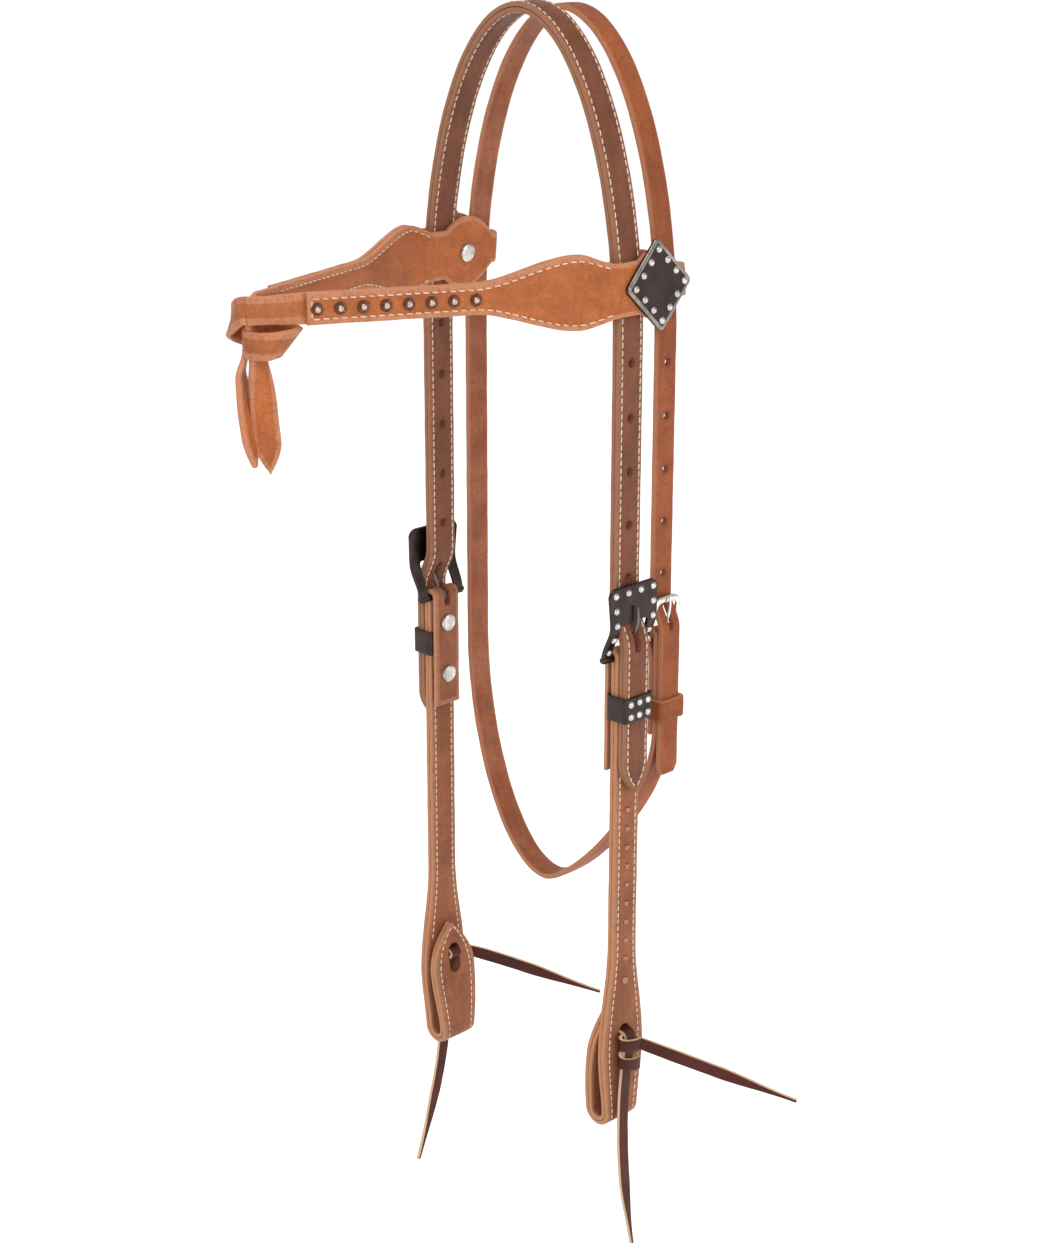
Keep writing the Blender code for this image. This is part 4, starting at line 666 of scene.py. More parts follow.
def hanging_strand(side, end, bow):
    """A lace's hanging end, from its tip up and through the slot."""
    top = cheek_place(side, TIE_AXIS, TIE_BEND_DROP + TIE_BEND)
    tip = cheek_place(side, TIE_AXIS, TIE_DROP) + near_side(side, *end)
    pull = UP * (top - tip).length / 3
    aside = near_side(side, *bow)
    points = curve_points(tip, tip + pull + aside, top - pull + aside, top, LANE_STEPS)
    route = arc(TIE_AXIS - TIE_BEND, TIE_BEND_DROP + TIE_BEND, TIE_BEND, 0, -math.pi / 2, FOLD_STEPS)[1:]
    route += arc(TIE_INNER, TIE_BEND_DROP + TIE_TURN, TIE_TURN, -math.pi / 2, -3 * math.pi / 2, FOLD_STEPS)
    points += [cheek_place(side, *spot) for spot in route + [(TIE_AXIS - TIE_DEPTH, TIE_DROP)]]
    return lace_stations(points, [ACROSS] * len(points))


def wrapped_strand(side, end, away, share):
    """A lace's side end, from its tip to the slot and twice round the hanging end."""
    start = cheek_place(side, TIE_AXIS - TIE_DEPTH, TIE_DROP)
    tip = start + near_side(side, *end)
    leave = start + near_side(side, *away)
    way = tip - leave
    pull = near_side(side, *away).normalized() * way.length * share
    points = curve_points(tip, tip - way * TIE_PULL_SHARE, leave + pull, leave, LANE_STEPS)
    points += [leave + (start - leave) * share for share in evenly(0, 1, LINE_STEPS)[1:]]
    for i in range(2 * TIE_TURN_STEPS + 1):
        angle = 2 * math.pi * i / TIE_TURN_STEPS
        level = TIE_AXIS - TIE_DEPTH * math.cos(angle)
        drop = TIE_DROP + TIE_PITCH * ease(i / TIE_TURN_STEPS / 2) * 2
        points.append(cheek_place(side, level, drop, -TIE_REACH_HALF * math.sin(angle)))
    wides = []
    for i in range(len(points)):
        along = (points[min(i + 1, len(points) - 1)] - points[max(i - 1, 0)]).normalized()
        wides.append(square_up(along).lerp(UP, eased(i, LANE_STEPS * TIE_SQUARE_UNTIL, LANE_STEPS)).normalized())
    return lace_stations(points, wides)


# Meshes

# How rows are spaced and ends, edges, swells and seams are shaped
MM = 0.001
ROW_GAP = 0.0015
SAME = 0.00004
ARRIVE = 0.0004
LEATHER_ROUND = 0.0007
MATING_ROUND = 0.00025
NARROW_FROM = 0.0042
END_ROWS = (0.0001, 0.0003, 0.0006)
END_ROUND = 0.0009
END_THIN = 0.55
PILLOW = 0.00018
SWAY = 0.00006
SWAY_WAVES = (0.0049, 0.0021)
SWAY_PHASE = 1.3
SWAY_SHARE = 0.6
PLY_PHASE = 900
SIDE_SPREAD = 1.15
LAYER_SCALE = 10
QUARTER = [math.pi / 2 * i / 4 for i in range(5)]
GROOVE_AT = (-0.00085, -0.00042, 0, 0.00042, 0.00085)
GROOVE_DEPTH = (0, 0.75, 1, 0.75, 0)
GROOVE = 0.0002
GROOVE_ROOM = 1.6
ROUND_ROOM = 1.2
INNER_SHARES = (-0.6, 0, 0.6)
UNDER_REACH = 0.8
EDGE_FADE = 0.0022
SEAM_STEP = 0.0004
SEAM_ROOM = 0.0006


def unit(vectors):
    return vectors / np.maximum(np.linalg.norm(vectors, axis=-1, keepdims=True), 1e-12)


def table_at(runs, places, values):
    """Rows of a table read at these lengths."""
    return np.stack([np.interp(runs, places, values[:, k]) for k in range(values.shape[1])], axis=1)


def circle(sides):
    """Cosines and sines of the corners of a regular polygon."""
    angles = [2 * math.pi * i / sides for i in range(sides)]
    return [(math.cos(angle), math.sin(angle)) for angle in angles]


def skin(rings):
    """Faces between rings that have the same number of corners, with a cap at both ends."""
    faces = []
    for a, b in zip(rings, rings[1:]):
        for k in range(len(a)):
            j = (k + 1) % len(a)
            faces.append((a[k], a[j], b[j], b[k]))
    return faces + [tuple(rings[0])[::-1], tuple(rings[-1])]


class Pile:
    """The vertices and faces of one piece, with a material number for each face."""

    def __init__(self):
        self.verts = []
        self.faces = []
        self.marks = []

    def add(self, verts, faces, marks=None):
        base = len(self.verts)
        self.verts += [tuple(v) for v in verts]
        self.faces += [tuple(base + i for i in face) for face in faces]
        self.marks += marks or [0] * len(faces)

    def add_rings(self, rings, marks=None):
        count = len(rings[0])
        numbers = [range(i * count, (i + 1) * count) for i in range(len(rings))]
        self.add([spot for ring in rings for spot in ring], skin(numbers), marks)

    def build(self, name, materials, sharp=SHARP, layers=None):
        """Makes the object. layers are pairs of values for each vertex, by the name that materials read."""
        mesh = bpy.data.meshes.new(name)
        mesh.from_pydata(self.verts, [], self.faces)
        for material in materials:
            mesh.materials.append(material)
        mesh.polygons.foreach_set("material_index", self.marks)
        corners = np.zeros(len(mesh.loops), dtype=np.int32)
        mesh.loops.foreach_get("vertex_index", corners)
        for title, values in (layers or {}).items():
            layer = mesh.uv_layers.new(name=title)
            layer.data.foreach_set("uv", np.ascontiguousarray(values[corners], dtype=np.float32).ravel())
        smooth(mesh, sharp)
        return linked(name, mesh)

    def build_solid(self, name, materials, sharp=SHARP):
        """Makes the object with all its faces turned outward."""
        obj = self.build(name, materials, sharp)
        bm = bmesh.new()
        bm.from_mesh(obj.data)
        bmesh.ops.recalc_face_normals(bm, faces=bm.faces)
        bm.to_mesh(obj.data)
        bm.free()
        smooth(obj.data, sharp)
        return obj


def linked(name, data):
    obj = bpy.data.objects.new(name, data)
    bpy.context.collection.objects.link(obj)
    return obj


def smooth(mesh, sharp):
    mesh.update()
    mesh.shade_smooth()
    mesh.set_sharp_from_angle(angle=math.radians(sharp))


def place_piece(obj, body, slot, *nodes):
    """Puts a finished piece on its body and hides the CAD nodes that it stands for; its material slot is not used.
    """
    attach(obj, body)
    if nodes:
        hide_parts(*nodes)


class Strap:
    """A strap's rows: places, directions and half widths along it, from its stations."""

    def __init__(self, stations, ply, face, closed=False):
        kept = []
        for station in stations:
            if not kept or (station[0] - kept[-1][0]).length > SAME:
                kept.append(station)
        if closed:
            kept.append(kept[0])
        self.ply, self.face, self.closed = ply, face, closed
        self.points, self.wides, self.halves = (np.array(part) for part in zip(*kept))
        steps = np.linalg.norm(np.diff(self.points, axis=0), axis=1)
        self.places = np.concatenate(([0], np.cumsum(steps)))
        self.length = self.places[-1]
        rows = [0]
        for a, b in zip(self.places, self.places[1:]):
            count = max(math.ceil((b - a) / ROW_GAP), 1)
            rows += [a + (b - a) * (i + 1) / count for i in range(count)]
        if not closed:
            rows += list(END_ROWS) + [self.length - end for end in END_ROWS]
        rows.sort()
        rows = [rows[0]] + [b for a, b in zip(rows, rows[1:]) if b - a > SAME]
        self.rows = np.array(rows[:-1] if closed else rows)

    def at(self, runs):
        """Centres, directions along, wide and outward, and half widths at these lengths."""
        if self.closed:
            before, after = (runs - ARRIVE) % self.length, (runs + ARRIVE) % self.length
        else:
            before, after = np.maximum(runs - ARRIVE, 0), np.minimum(runs + ARRIVE, self.length)
        centre = table_at(runs, self.places, self.points)
        ends = [table_at(place, self.places, self.points) for place in (before, after)]
        along = unit(ends[1] - ends[0])
        wide = unit(table_at(runs, self.places, self.wides))
        out = unit(np.cross(along, wide)) * self.face
        return centre, along, wide, out, np.interp(runs, self.places, self.halves)

    def section(self, half, seam, groove, pillow, rounds):
        """Across and out for each row and column of the closed section, from the left edge of the face."""
        narrow = np.minimum(half / NARROW_FROM, 1)[:, None]
        half = half[:, None]
        thick = self.ply / 2

        def edge(side, face, radius):
            """A rounded edge, from the strap's side inwards."""
            return [
                (side * (half - radius * narrow * (1 - math.sin(a))), face * (thick - radius * (1 - math.cos(a))))
                for a in QUARTER[::-1]
            ]

        def furrow(side):
            """The sunk line under a row of stitches."""
            if seam is None:
                return []
            inset = seam[:, None]
            return [
                (side * (half - (inset + off) * narrow), thick - groove * depth)
                for off, depth in zip(GROOVE_AT, GROOVE_DEPTH)
            ]

        room = rounds[0] * ROUND_ROOM if seam is None else seam[:, None] + GROOVE_AT[-1] * GROOVE_ROOM
        reach = half - room * narrow
        columns = edge(-1, 1, rounds[0]) + furrow(-1) + [(reach * share, thick) for share in INNER_SHARES]
        columns += furrow(1)[::-1] + edge(1, 1, rounds[0])[::-1]
        faces = len(columns)
        columns += edge(1, -1, rounds[1]) + [(-half * share * UNDER_REACH, -thick) for share in INNER_SHARES]
        columns += edge(-1, -1, rounds[1])[::-1]
        across = np.concatenate([place for place, _ in columns], axis=1)
        out = np.concatenate([level + 0 * half for _, level in columns], axis=1)
        out[:, :faces] -= pillow * (np.abs(across[:, :faces]) / half) ** 3 * narrow
        return across, out

    def build(
        self, name, materials, seam=None, groove=GROOVE, pillow=PILLOW, rounds=(LEATHER_ROUND, MATING_ROUND),
        marks=(), sway=SWAY, fade=EDGE_FADE,
    ):
        """The strap's mesh. marks are points round which painted shade darkens the leather, each with its reach.
        """
        rows = self.rows
        centre, _, wide, out, half = self.at(rows)
        wave = np.sin(rows / SWAY_WAVES[0] + SWAY_PHASE)
        wave += SWAY_SHARE * np.sin(rows / SWAY_WAVES[1] + self.ply * PLY_PHASE)
        half = half + sway * wave * np.minimum(half / NARROW_FROM, 1)
        insets = None if seam is None else seam(rows, half)
        groove = groove(rows)[:, None] if callable(groove) else groove
        across, level = self.section(half, insets, groove, pillow, rounds)
        if not self.closed:
            near = np.minimum(rows, self.length - rows) / END_ROUND
            thin = END_THIN + (1 - END_THIN) * np.sqrt(1 - (1 - np.minimum(near, 1)) ** 2)
            level = level * thin[:, None]
        verts = centre[:, None] + wide[:, None] * across[..., None] + out[:, None] * level[..., None]
        cols = across.shape[1]
        index = np.arange(across.size).reshape(across.shape)
        upper = index if self.closed else index[:-1]
        lower = np.roll(index, -1, axis=0) if self.closed else index[1:]
        quads = np.stack([upper, np.roll(upper, -1, axis=1), np.roll(lower, -1, axis=1), lower], axis=-1)
        if self.face > 0:
            quads = quads[..., ::-1]
        faces = [tuple(face) for face in quads.reshape(-1, 4).tolist()]
        if not self.closed:
            ends = [tuple(index[0].tolist()), tuple(index[-1][::-1].tolist())]
            faces += [tuple(reversed(end)) for end in ends] if self.face < 0 else ends
        edge = 1 - np.minimum((half[:, None] - np.abs(across)) / fade, 1)
        if not self.closed:
            left = np.minimum(rows, self.length - rows)[:, None]
            edge = np.maximum(edge, 1 - np.minimum(left / fade, 1) + 0 * across)
        # Painted shade: the leather darkens round holes and slots, fading out over each mark's reach
        dark = np.zeros_like(across)
        for point, reach in marks:
            away = np.linalg.norm(verts - np.array(point), axis=-1)
            dark = np.maximum(dark, np.clip(1 - away / reach, 0, 1))
        side = np.clip(level / self.ply * SIDE_SPREAD + 0.5, 0, 1)
        pairs = {
            "strap": np.stack([across, np.repeat(rows[:, None], cols, axis=1)], axis=-1) * LAYER_SCALE,
            # finish holds the edge mask and the painted shade round holes and slots
            "finish": np.stack([edge, dark], axis=-1),
            "side": np.stack([side, 0 * side], axis=-1),
        }
        pile = Pile()
        pile.add(verts.reshape(-1, 3).tolist(), faces)
        layers = {title: values.reshape(-1, 2) for title, values in pairs.items()}
        return pile.build(name, materials, STRAP_SHARP, layers)

    def seam_line(self, start, end, seam, side):
        """Points, outward directions and lengths along a row of stitches at the seam's distance from an edge."""
        runs = np.arange(start, end, SEAM_STEP)
        centre, _, wide, out, half = self.at(runs)
        across = side * (half - seam(runs, half))
        across = np.where(np.abs(across) <= np.maximum(half - SEAM_ROOM, SEAM_ROOM / 2), across, 0)
        points = centre + wide * across[:, None] + out * self.ply / 2
        steps = np.linalg.norm(np.diff(points, axis=0), axis=1)
        return points, out, np.concatenate(([0], np.cumsum(steps)))

    def cross_line(self, run, reach):
        """The same for a row that crosses the strap."""
        centre, _, wide, out, _ = self.at(np.array([run]))
        across = np.arange(-reach, reach, SEAM_STEP)[:, None]
        points = centre + wide * across + out * self.ply / 2
        return points, out + 0 * across, across[:, 0] + reach


# A stitch's rings, each a share of its length, of its radius and of its height over the leather
STITCH_RINGS = ((-0.5, 0.45, -0.62), (-0.36, 0.86, -0.4), (0, 1, -0.3), (0.36, 0.86, -0.4), (0.5, 0.45, -0.62))
STITCH_SIDES = 8
STITCH_RADIUS = 0.00037
STITCH_SLANT = 0.00009
STITCH_FLAT = 0.45
STITCH_STRAY = 0.03
STITCH_LONG = (0.96, 1.04)
STITCH_SLANTS = (0.4, 1.6)
# A rod's domed end, as shares of its radius: each ring's size and how far it lies ahead
ROD_TIP = ((0.35, 0.9), (0.75, 0.6))
DOME_SUNK = 0.0003
DOME_RINGS = 7
STEEP = 0.9


def stitch_line(pile, seam, pitch, long):
    """One row of stitches, each a bent grain of thread that dips into the leather at both ends."""
    points, outs, places = seam
    count = max(int(round(places[-1] / pitch)), 1)
    step = places[-1] / count
    for i in range(count):
        middle = (i + 0.5 + random.uniform(-1, 1) * STITCH_STRAY) * step
        reach = long * random.uniform(*STITCH_LONG)
        slant = STITCH_SLANT * random.uniform(*STITCH_SLANTS)
        runs = np.array([middle + share * reach for share, _, _ in STITCH_RINGS])
        place = table_at(runs, places, points)
        out = unit(table_at(runs, places, outs))
        beside = unit(np.cross(unit(np.gradient(place, axis=0)), out))
        rings = []
        for k, (share, size, level) in enumerate(STITCH_RINGS):
            centre = place[k] + out[k] * level * STITCH_RADIUS * 2 * STITCH_FLAT + beside[k] * slant * share * 2
            radius = STITCH_RADIUS * size
            rings.append([centre + (beside[k] * c + out[k] * s) * radius for c, s in circle(STITCH_SIDES)])
        pile.add_rings(rings)


def stitch_strap(name, strap, spans, seam, stitch, body, slot, cross=()):
    """Rows of stitches along both edges of a strap over some lengths of it, and across it at others."""
    pile = Pile()
    for first, last in spans:
        for side in (1, -1):
            stitch_line(pile, strap.seam_line(first, last, seam, side), *stitch)
    for run, reach in cross:
        stitch_line(pile, strap.cross_line(run, reach), *stitch)
    place_piece(pile.build(name + "_stitches", [THREAD_LOOK]), body, slot)


def basis_of(axis):
    """Two directions square to an axis and to each other, and the axis itself."""
    axis = axis.normalized()
    other = UP if abs(axis.z) < STEEP else ACROSS
    first = axis.cross(other).normalized()
    return first, axis.cross(first), axis


def turn(pile, middle, axis, profile, sides=DOME_SIDES, mark=0, closed=False):
    """Turns a profile of (radius, height) pairs round an axis."""
    first, second, axis = basis_of(axis)
    verts, rings, faces = [], [], []
    for radius, height in profile:
        spots = [first * c + second * s for c, s in circle(sides)] if radius else [Vector()]
        rings.append(range(len(verts), len(verts) + len(spots)))
        verts += [middle + spot * radius + axis * height for spot in spots]
    for low, high in list(zip(rings, rings[1:])) + ([(rings[-1], rings[0])] if closed else []):
        for i in range(sides):
            j = (i + 1) % sides
            if len(low) == 1:
                faces.append((low[0], high[j], high[i]))
            elif len(high) == 1:
                faces.append((low[i], low[j], high[0]))
            else:
                faces.append((low[i], low[j], high[j], high[i]))
    pile.add(verts, faces, [mark] * len(faces))


def dome_profile(radius, height, sunk=DOME_SUNK):
    """A dome in (radius, height), from its foot under the surface to its top."""
    angles = evenly(0, math.pi / 2, DOME_RINGS)
    dome = [(radius * math.cos(angle), height * math.sin(angle)) for angle in angles]
    return [(radius, -sunk)] + dome + [(0, height)]


def sweep(pile, points, radii, sides=ROD_SIDES):
    """A round rod through points, closed at both ends with domes of a few rings."""
    points = [Vector(p) for p in points]
    last = len(points) - 1
    side = None
    rings = []
    plan = [(0, size, -ahead) for size, ahead in ROD_TIP] + [(i, 1, 0) for i in range(last + 1)]
    for i, size, ahead in plan + [(last, size, ahead) for size, ahead in reversed(ROD_TIP)]:
        along = (points[min(i + 1, last)] - points[max(i - 1, 0)]).normalized()
        side = side or basis_of(along)[0]
        side = (side - along * side.dot(along)).normalized()
        other = along.cross(side)
        centre = points[i] + along * ahead * radii[i]
        rings.append([centre + (side * c + other * s) * radii[i] * size for c, s in circle(sides)])
    pile.add_rings(rings)


def cutter_rod(bm, start, end, radius):
    first, second, _ = basis_of(end - start)
    ring = [(first * c + second * s) * radius for c, s in circle(ROD_SIDES)]
    join_rings(bm, [[centre + spot for spot in ring] for centre in (start, end)])


def join_rings(bm, rings):
    for face in skin([[bm.verts.new(spot) for spot in ring] for ring in rings]):
        bm.faces.new(face)


def cutter_slot(bm, start, end, wide, long):
    """A slot with round ends, its whole width and whole length given, from one place to another."""
    beside = (end - start).normalized().cross(UP).normalized()
    radius = wide / 2
    ring = []
    for shift, first in (((long - wide) / 2, 0), ((wide - long) / 2, math.pi)):
        for across, up in arc(0, shift, radius, first, first + math.pi, SLOT_SIDES):
            ring.append(UP * up - beside * across)
    join_rings(bm, [[centre + spot for spot in ring] for centre in (start, end)])


def punch(obj, bm, wall, sharp=STRAP_SHARP):
    """Cuts holes out of a piece and gives their walls a material of their own."""
    bmesh.ops.recalc_face_normals(bm, faces=bm.faces)
    mesh = bpy.data.meshes.new("cutter")
    bm.to_mesh(mesh)
    bm.free()
    mesh.materials.append(wall)
    cutter = linked("cutter", mesh)
    step = obj.modifiers.new("holes", "BOOLEAN")
    step.operation = "DIFFERENCE"
    step.solver = "EXACT"
    step.material_mode = "TRANSFER"
    step.object = cutter
    depsgraph = bpy.context.evaluated_depsgraph_get()
    made = bpy.data.meshes.new_from_object(
        obj.evaluated_get(depsgraph), preserve_all_data_layers=True, depsgraph=depsgraph
    )
    obj.modifiers.clear()
    obj.data = made
    bpy.data.objects.remove(cutter)
    smooth(made, sharp)


# Materials

def colour(tone):
    """A colour as it looks on screen, turned into Blender's linear values."""
    shares = [value / 255 for value in tone]
    return (*[share / 12.92 if share <= 0.04045 else ((share + 0.055) / 1.055) ** 2.4 for share in shares], 1)


def toned(tone, factor):
    """A paler or darker tone."""
    return [min(value * factor, 255) for value in tone]


class Nodes:
    """Short names for making a material's nodes."""

    def __init__(self, name):
        self.material = bpy.data.materials.new(name)
        self.material.use_nodes = True
        self.tree = self.material.node_tree
        self.shader = self.tree.nodes["Principled BSDF"]
        self.place = self.new("ShaderNodeTexCoord").outputs["Object"]

    def new(self, kind, **settings):
        node = self.tree.nodes.new(kind)
        for key, value in settings.items():
            setattr(node, key, value)
        return node

    def put(self, socket, value):
        if isinstance(value, bpy.types.NodeSocket):
            self.tree.links.new(value, socket)
        else:
            socket.default_value = value

    def maths(self, kind, first, second):
        node = self.new("ShaderNodeMath", operation=kind, use_clamp=True)
        self.put(node.inputs[0], first)
        self.put(node.inputs[1], second)
        return node.outputs[0]

    def mix(self, share, first, second):
        node = self.new("ShaderNodeMix", data_type="RGBA")
        for socket, value in ((0, share), (6, first), (7, second)):
            self.put(node.inputs[socket], value)
        return node.outputs[2]

    def veil(self, base, mask, strength, tone):
        """Lays a tone over a colour where a mask is strong."""
        return self.mix(self.maths("MULTIPLY", mask, strength), base, colour(tone))

    def spread(self, value, low, high, out_low=0.0, out_high=1.0):
        node = self.new("ShaderNodeMapRange", interpolation_type="SMOOTHSTEP")
        for socket, number in zip(node.inputs, (value, low, high, out_low, out_high)):
            self.put(socket, number)
        return node.outputs[0]

    def noise(self, scale, detail=4.0, rough=0.6, place=None):
        node = self.new("ShaderNodeTexNoise")
        for title, value in (
            ("Vector", place or self.place), ("Scale", scale), ("Detail", detail), ("Roughness", rough),
        ):
            self.put(node.inputs[title], value)
        return node.outputs["Fac"]

    def clouds(self, low, high, *noise):
        """Noise with its contrast raised between two levels."""
        return self.spread(self.noise(*noise), low, high)

    def cells(self, scale):
        node = self.new("ShaderNodeTexVoronoi")
        self.put(node.inputs["Vector"], self.place)
        self.put(node.inputs["Scale"], scale)
        return node.outputs["Distance"]

    def pair(self, layer):
        """Both values of one of a mesh's layers."""
        split = self.new("ShaderNodeSeparateXYZ")
        self.put(split.inputs[0], self.new("ShaderNodeUVMap", uv_map=layer).outputs[0])
        return split.outputs[0], split.outputs[1]

    def stretched(self, layer, across, along):
        """Coordinates along a strap, stretched for streaks that run with it."""
        node = self.new("ShaderNodeMapping")
        self.put(node.inputs[0], self.new("ShaderNodeUVMap", uv_map=layer).outputs[0])
        node.inputs["Scale"].default_value = (across, along, 1)
        return node.outputs[0]

    def bumps(self, *layers):
        """Bumps one over another, each a height with its distance and strength."""
        normal = None
        for height, distance, strength in layers:
            node = self.new("ShaderNodeBump")
            self.put(node.inputs["Height"], height)
            self.put(node.inputs["Distance"], distance)
            self.put(node.inputs["Strength"], strength)
            if normal is not None:
                self.put(node.inputs["Normal"], normal)
            normal = node.outputs[0]
        return normal

    def finish(self, base, rough, normal, metallic=0.0, level=0.5):
        self.put(self.shader.inputs["Base Color"], base)
        self.put(self.shader.inputs["Roughness"], rough)
        self.put(self.shader.inputs["Normal"], normal)
        self.shader.inputs["Metallic"].default_value = metallic
        self.shader.inputs["Specular IOR Level"].default_value = level
        return self.material


def leather(name, face, shade, back, edge, border=None, edge_share=0.75, speckle=0.5):
    """Grain, mottling, a paler border outside the stitches, burnished edges, and painted shade round holes and
    slots.
    """
    make = Nodes(name)
    side = make.pair("side")[0]
    # The second value of finish is the painted shade round holes and slots
    near_edge, hole_shade_mask = make.pair("finish")
    blotches = make.clouds(0.36, 0.66, 38, 3)
    fine = make.clouds(0.44, 0.68, 1150, 4, 0.7)
    cloudy = make.clouds(0.42, 0.66, 340, 4, 0.7)
    creases = make.clouds(0.5, 0.72, 1, 5, 0.65, make.stretched("strap", 9, 34))
    streaks = make.clouds(0.4, 0.75, 1, 4, 0.6, make.stretched("strap", 22, 3.5))
    pores = make.spread(make.cells(1500), 0.05, 0.5)
    veils = [(blotches, 0.7, shade), (streaks, 0.3, toned(face, 1.2))]
    if border is not None:
        veils.append((make.spread(near_edge, 0.0, 0.12), 0.8, border))
    veils += [
        (fine, speckle, toned(face, 0.66)),
        (cloudy, 0.3, toned(face, 0.76)),
        (creases, 0.4, toned(face, 0.7)),
        (make.maths("POWER", near_edge, 5), edge_share, edge),
        # Painted shade round holes and slots
        (make.spread(hole_shade_mask, 0, 1), 0.7, PAINTED_HOLE_SHADE),
    ]
    base = make.mix(make.spread(side, 0.35, 0.62), colour(back), colour(face))
    for veil in veils:
        base = make.veil(base, *veil)
    normal = make.bumps(
        (pores, 0.00016, 0.34), (make.noise(650), 0.00022, 0.4), (make.noise(90, 3, 0.5), 0.0006, 0.28),
        (creases, 0.00016, 0.3),
    )
    return make.finish(base, make.spread(make.noise(120), 0.3, 0.7, *LEATHER_ROUGH), normal, level=0.2)


def plain_fibre(name, tone, dark):
    """Cut leather inside a hole or slot."""
    make = Nodes(name)
    fibres = make.clouds(0.3, 0.75, 900, 5, 0.7)
    base = make.mix(fibres, colour(dark), colour(tone))
    return make.finish(base, make.spread(fibres, 0, 1, 0.8, 0.95), make.bumps((fibres, 0.0002, 0.5)), level=0.3)


def thread(name, tone, dark):
    """Waxed thread, soiled in places, with a faint twist."""
    make = Nodes(name)
    base = make.veil(colour(tone), make.clouds(0.42, 0.72, 160), 0.55, dark)
    twist = make.noise(2600, 2, 0.5)
    return make.finish(base, make.spread(twist, 0.3, 0.7, 0.55, 0.75), make.bumps((twist, 0.00008, 0.5)))


def metal(name, tone, worn, rough, mottle=0.5, scale=160):
    """Plated metal: cloudy tarnish, fine scratches and slight unevenness."""
    make = Nodes(name)
    clouds = make.clouds(0.34, 0.72, scale)
    fine = make.clouds(0.35, 0.7, 1400, 3)
    base = make.veil(colour(tone), clouds, mottle, worn)
    share = make.maths("ADD", make.maths("MULTIPLY", clouds, 0.6), make.maths("MULTIPLY", fine, 0.4))
    normal = make.bumps((fine, 0.00005, 0.2), (make.noise(260, 2, 0.5), 0.00015, 0.15))
    return make.finish(base, make.spread(share, 0.0, 1.0, *rough), normal, metallic=1.0)


# Tones are as they look on screen, from 0 to 255
# Painted shade laid on the leather round holes and slots
PAINTED_HOLE_SHADE = (84, 50, 38)
LEATHER_ROUGH = (0.42, 0.58)
CROWN_LOOK = leather(
    "crown leather", (130, 78, 55), (102, 58, 39), (172, 112, 78), (166, 116, 88), (156, 108, 82)
)
CHEEK_LOOK = leather(
    "cheek leather", (160, 98, 67), (124, 70, 46), (180, 112, 76), (202, 142, 102), (178, 124, 94)
)
BROW_LOOK = leather(
    "browband leather", (190, 108, 60), (158, 86, 46), (182, 108, 64), (208, 140, 102), (206, 142, 106),
    edge_share=0.6,
)
THROAT_LOOK = leather(
    "throatlatch leather", (166, 90, 52), (126, 64, 36), (166, 104, 74), (194, 134, 100), speckle=0.6
)
LACE_LOOK = leather(
    "lace leather", (84, 36, 26), (52, 24, 19), (86, 38, 29), (228, 190, 152), edge_share=0.95, speckle=0.3
)
HOLE_LOOK = plain_fibre("punched leather", (168, 104, 76), (118, 68, 50))
THREAD_LOOK = thread("thread", (230, 206, 180), (176, 138, 108))
DARK_LOOK = metal("dark plated metal", (69, 60, 57), (46, 40, 39), (0.3, 0.44))
RIM_LOOK = metal("worn dark metal", (168, 158, 150), (104, 94, 88), (0.26, 0.4), 0.7)
SILVER_LOOK = metal("silver plated metal", (208, 203, 199), (146, 138, 134), (0.12, 0.26), 0.6)
TONGUE_LOOK = metal("dark tongue metal", (112, 104, 101), (68, 62, 60), (0.2, 0.34), 0.6)
CHROME_LOOK = metal("bright chrome", (226, 224, 220), (196, 192, 186), (0.08, 0.2), 0.4)
COPPER_LOOK = metal("antique copper", (112, 76, 62), (62, 44, 38), (0.3, 0.45), 0.6, 700)
DOME_LOOK = metal("antique silver", (206, 180, 164), (138, 108, 94), (0.28, 0.42), 0.6, 700)
SPOT_LOOK = metal("small spot metal", (176, 128, 100), (108, 72, 56), (0.28, 0.42), 0.6, 700)


# Leather pieces

# Seams' distances from the edge, and stitches' pitch and length
CROWN_SEAM = 0.0020
CROWN_STITCH = (0.00365, 0.0027)
CHEEK_STITCH = (0.0036, 0.0026)
BROW_STITCH = (0.0042, 0.0029)
CHEEK_SEAM = (0.0010, 0.19)
BROW_SEAM = 0.0025
CHEEK_STITCH_START = 0.020
CHEEK_GROOVE_START = 0.014
CHEEK_GROOVE_FADE = 0.004
LINING_STITCH_END = 0.006
BROW_STITCH_START = 0.0024
BROW_STITCH_END = 0.004
BROW_GROOVE_FADE = 0.002
BROW_PILLOW = 0.0002
LACE_PILLOW = 0.0001
LACE_ROUND = 0.0003
LACE_FADE = 0.0004

# Holes and slots: how far cutters reach past the leather, how much longer the crown's slots are in tongue
# radii, and how far the painted shade round them spreads
CUTTER_REACH = 0.004
CROWN_SLOT = (2.35, 0.65)
HOLE_SHADE = 0.0046
TIE_SLOT_SHADE = 0.0075
TIE_SLOT_SHADES = (-0.004, 0.004)

# The browband's spots, as (radius, height) over the leather
SPOT_RIM = (
    (0, -0.0002), (0.0027, -0.0002), (0.00285, 0.0001), (0.0027, 0.0005), (0.0021, 0.00065), (0.00185, 0.0005),
    (0, 0.0005),
)
SPOT_DOME = (0.00158, 0.0013, 0.0001)
SPOT_DOME_LEVEL = 0.0004
SIDES = (("near", 1), ("far", -1))


def even_seam(inset):
    """A seam at one distance from the edge all along."""
    return lambda runs, half: inset + 0 * runs


def seam_end(strap, seam):
    """The first and last lengths at which both rows of stitches have room."""
    runs = np.arange(0, strap.length, SEAM_STEP / 2)
    half = np.interp(runs, strap.places, strap.halves)
    room = runs[half > seam(runs, half) + SEAM_STEP / 2]
    return room[0], room[-1]


def through(place, drop, first, last):
    """Both ends of a cutter between two levels."""
    return place(first, drop), place(last, drop)


